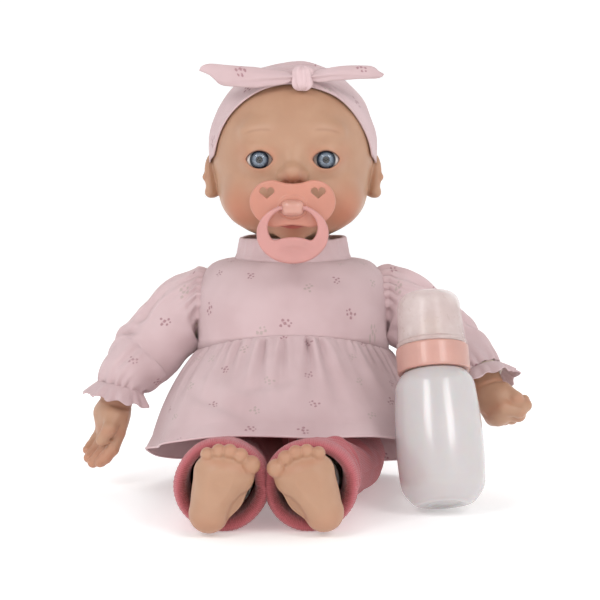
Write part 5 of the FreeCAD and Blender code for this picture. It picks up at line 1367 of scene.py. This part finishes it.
for sideName, side in legs.items():
    def legField(p, side=side):
        x, y, z = p
        hipX, shinX = side["sign"] * 33, side["shin"]
        knee = side["line"][3]
        d = melt(limb(p, (side["sign"] * 28, 4, 20), (hipX, -20, 20), 15.4, 15.2),
                 limb(p, (hipX, -20, 20), knee, 15.2, 15.0), 4)
        d = melt(d, limb(p, knee, (shinX, -108, 22.6), 15.0, 16.4), 4)
        d = melt(d, limb(p, (shinX, -108, 22.6), (shinX, -118, 23), 16.4, 15.0), 3)
        d = np.maximum(d, -126.4 - y)
        ring = np.sqrt((x - shinX) ** 2 + (z - 23) ** 2)
        d = scoop(d, np.sqrt((ring - 16.4) ** 2 + (y + 123.6) ** 2) - 1.0, 1.2)
        return np.maximum(d, -np.maximum(ring - 13.5, y + 111.4))
    edge = side["sign"] * 50
    legPiece = moulded(f"leg_{sideName}_stuffed", legField, (min(edge, side["shin"] - 22), -130, 1),
                       (max(edge, side["shin"] + 22), 24, 44), 1.0, bodyCloth)
    settle(legPiece, f"leg_{sideName}_body", "body_cloth", f"leg_cloth_{sideName}")


def tapeFinish():
    finish = Finish("hook_tape", Sheen_Weight=0.4, Specular_IOR_Level=0.2)
    across, _, up = finish.split(finish.place())
    loops = (across * 6000.0).sine() * (up * 6000.0).sine()
    finish.feed("Base Color", finish.mix(finish.noise(300, 3), tint(222, 204, 204), tint(238, 226, 226)))
    finish.feed("Roughness", 0.85 + 0.1 * finish.noise(500, 2))
    finish.bump(loops + finish.noise(900, 3) * 2.0, 0.0004, 0.9)
    return finish


tapeLow, tapeHigh = np.array(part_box("dress_tape")) / mm


def tapeSurface(u, v):
    # a strip that follows the inside of the dress's back
    x = tapeLow[0] + 0.6 + (tapeHigh[0] - tapeLow[0] - 1.2) * u
    z = tapeLow[2] + 0.6 + (tapeHigh[2] - tapeLow[2] - 1.2) * v
    inside = 1 - (x / 52.9) ** 2 - ((z - 75) / 60.9) ** 2
    y = 10 + 38.9 * np.sqrt(inside) - 1.4 + 0.12 * np.sin(u * 40) * np.sin(v * 44)
    return x, y, z


tapePiece = cloth("dress_tape_strip", tapeSurface, 40, 44, tapeFinish(), (15, 17), False, 1.2)
settle(tapePiece, "torso", "hook_tape", "dress_tape")
print("stuffed body made")

# finishes of the parts inside


def metalFinish(name, light, dark, roughness, metallic=1.0):
    finish = Finish(name)
    finish.feed("Base Color", finish.mix(finish.noise(220, 4).between(0.3, 0.7), dark, light))
    finish.feed("Metallic", metallic - 0.05 * finish.noise(90, 2))
    finish.feed("Roughness", roughness + 0.18 * (finish.noise(700, 3) - 0.5))
    finish.bump(finish.noise(1200, 2), 0.00003, 0.4)
    return finish


def boardFinish():
    # solder mask with plain tracks under it
    finish = Finish("board_green", Coat_Weight=0.3)
    across, _, up = finish.split(finish.place())
    tracks = ((across * 1500.0).sine() * (up * 700.0).sine()).between(0.25, 0.45)
    finish.feed("Base Color", finish.mix(tracks * 0.6, tint(22, 84, 44), tint(58, 128, 74)))
    finish.feed("Roughness", 0.32 + 0.1 * finish.noise(300, 2))
    finish.bump(tracks, 0.00008, 0.7)
    return finish


def batteryFinish():
    # a plain wrapped jacket with a lighter band round each cell's end
    finish = Finish("battery", Coat_Weight=0.4)
    across, _, _ = finish.split(finish.place())
    bandMask = (across * across * 1000.0).between(0.317, 0.331)
    finish.feed("Base Color", finish.mix(bandMask, tint(64, 76, 92), tint(186, 160, 112)))
    finish.feed("Metallic", 0.2 + 0.5 * bandMask)
    finish.feed("Roughness", 0.3 + 0.12 * finish.noise(200, 3))
    finish.bump(finish.noise(800, 2), 0.00002, 0.4)
    return finish


innerFinishes = [
    (plasticFinish("white_plastic", tint(236, 233, 228), 0.42, 0.05, 0.05, 0.00005, 0.96),
     ["mouth_cup", "sound_case_front", "sound_case_rear", "battery_door"]),
    (plasticFinish("black_plastic", tint(38, 38, 40), 0.4, 0.1, 0.0, 0.00005, 0.8),
     ["mouth_reed_switch", "speaker", "switch_knob"]),
    (plasticFinish("lead_red", tint(170, 34, 30), 0.45, 0.2, 0.05, 0.00003, 0.85),
     ["head_lead", "torso_lead"]),
    (plasticFinish("nylon_tie", tint(234, 232, 226), 0.35, 0.2, 0.1, 0.00003, 0.95),
     ["neck_tie", "arm_tie_left", "arm_tie_right", "leg_tie_left", "leg_tie_right"]),
    (metalFinish("steel", tint(196, 196, 198), tint(150, 150, 154), 0.3),
     ["case_screws", "battery_contacts", "pacifier_magnet", "bottle_magnet"]),
    (batteryFinish(), ["batteries"]), (boardFinish(), ["circuit_board"]),
    (siliconeClear, ["pacifier_teat", "bottle_teat"])]
for finish, nodes in innerFinishes:
    for node in nodes:
        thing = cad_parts[node]
        if thing.material_slots:
            for slot in thing.material_slots:
                slot.material = finish.material
        else:
            thing.data.materials.append(finish.material)
print("inner parts finished")

# camera, light and floor

view = dict(aim=(0.0042, 0.0, 0.1104), away=1.2, lift=5.0, lens=120.0)
camera = bpy.data.objects.new("camera", bpy.data.cameras.new("camera"))
camera.data.lens = view["lens"]
camera.data.sensor_width = 36
camera.data.clip_end = 20
rise = math.radians(view["lift"])
camera.location = (view["aim"][0], view["aim"][1] - view["away"] * math.cos(rise),
                   view["aim"][2] + view["away"] * math.sin(rise))
camera.rotation_euler = (math.pi / 2 - rise, 0, 0)
bpy.context.scene.collection.objects.link(camera)
bpy.context.scene.camera = camera
bpy.context.scene.view_settings.view_transform = "Standard"

studio = dict(sky=0.42, floor=tint(250, 250, 250),
              lamps=[("key_left", (-0.75, -1.15, 1.05), 0.5, 5.2),
                     ("key_right", (0.75, -1.15, 1.05), 0.5, 4.8),
                     ("back_light", (0.0, 1.1, 1.3), 0.9, 5)])


def lightStudio():
    world = bpy.data.worlds.new("soft_room")
    bpy.context.scene.world = world
    world.use_nodes = True
    sky = world.node_tree.nodes["Background"]
    sky.inputs["Color"].default_value = (1, 1, 1, 1)
    sky.inputs["Strength"].default_value = studio["sky"]
    for name, at, size, power in studio["lamps"]:
        lamp = bpy.data.lights.new(name, "AREA")
        lamp.size = size
        lamp.energy = power
        thing = bpy.data.objects.new(name, lamp)
        thing.location = at
        away = [a - b for a, b in zip((0, 0, 0.12), at)]
        flat = math.hypot(away[0], away[1])
        thing.rotation_euler = (math.atan2(flat, -away[2]), 0, math.atan2(away[1], away[0]) - math.pi / 2)
        bpy.context.scene.collection.objects.link(thing)


def layFloor():
    # a pale floor that curves up into a backdrop all round
    finish = Finish("studio_paper", Roughness=0.9)
    finish.feed("Base Color", finish.mix(finish.noise(3, 2), studio["floor"], tint(253, 253, 253)))
    finish.shader.inputs["Emission Color"].default_value = (1, 1, 1, 1)
    finish.shader.inputs["Emission Strength"].default_value = 0.25
    reach = [0, 0.3, 0.6, 1.0, 1.6, 2.2, 2.7, 3.0, 3.15, 3.2, 3.2]
    height = [0, 0, 0, 0, 0, 0, 0.05, 0.2, 0.5, 1.0, 3.0]
    count = 96
    angle = np.linspace(0, 2 * math.pi, count, endpoint=False)
    rings = [np.stack([r * np.cos(angle), r * np.sin(angle), np.full(count, h)], -1) for r,
             h in zip(reach, height)]
    j, i = np.meshgrid(np.arange(len(reach) - 1), np.arange(count), indexing="ij")
    k = (i + 1) % count
    faces = np.stack([j * count + i, j * count + k, (j + 1) * count + k, (j + 1) * count + i],
                     -1).reshape(-1, 4)
    floor = finished("studio_floor", np.concatenate(rings) / mm, faces, finish)
    tidy(floor)


lightStudio()
layFloor()

print("scene made")
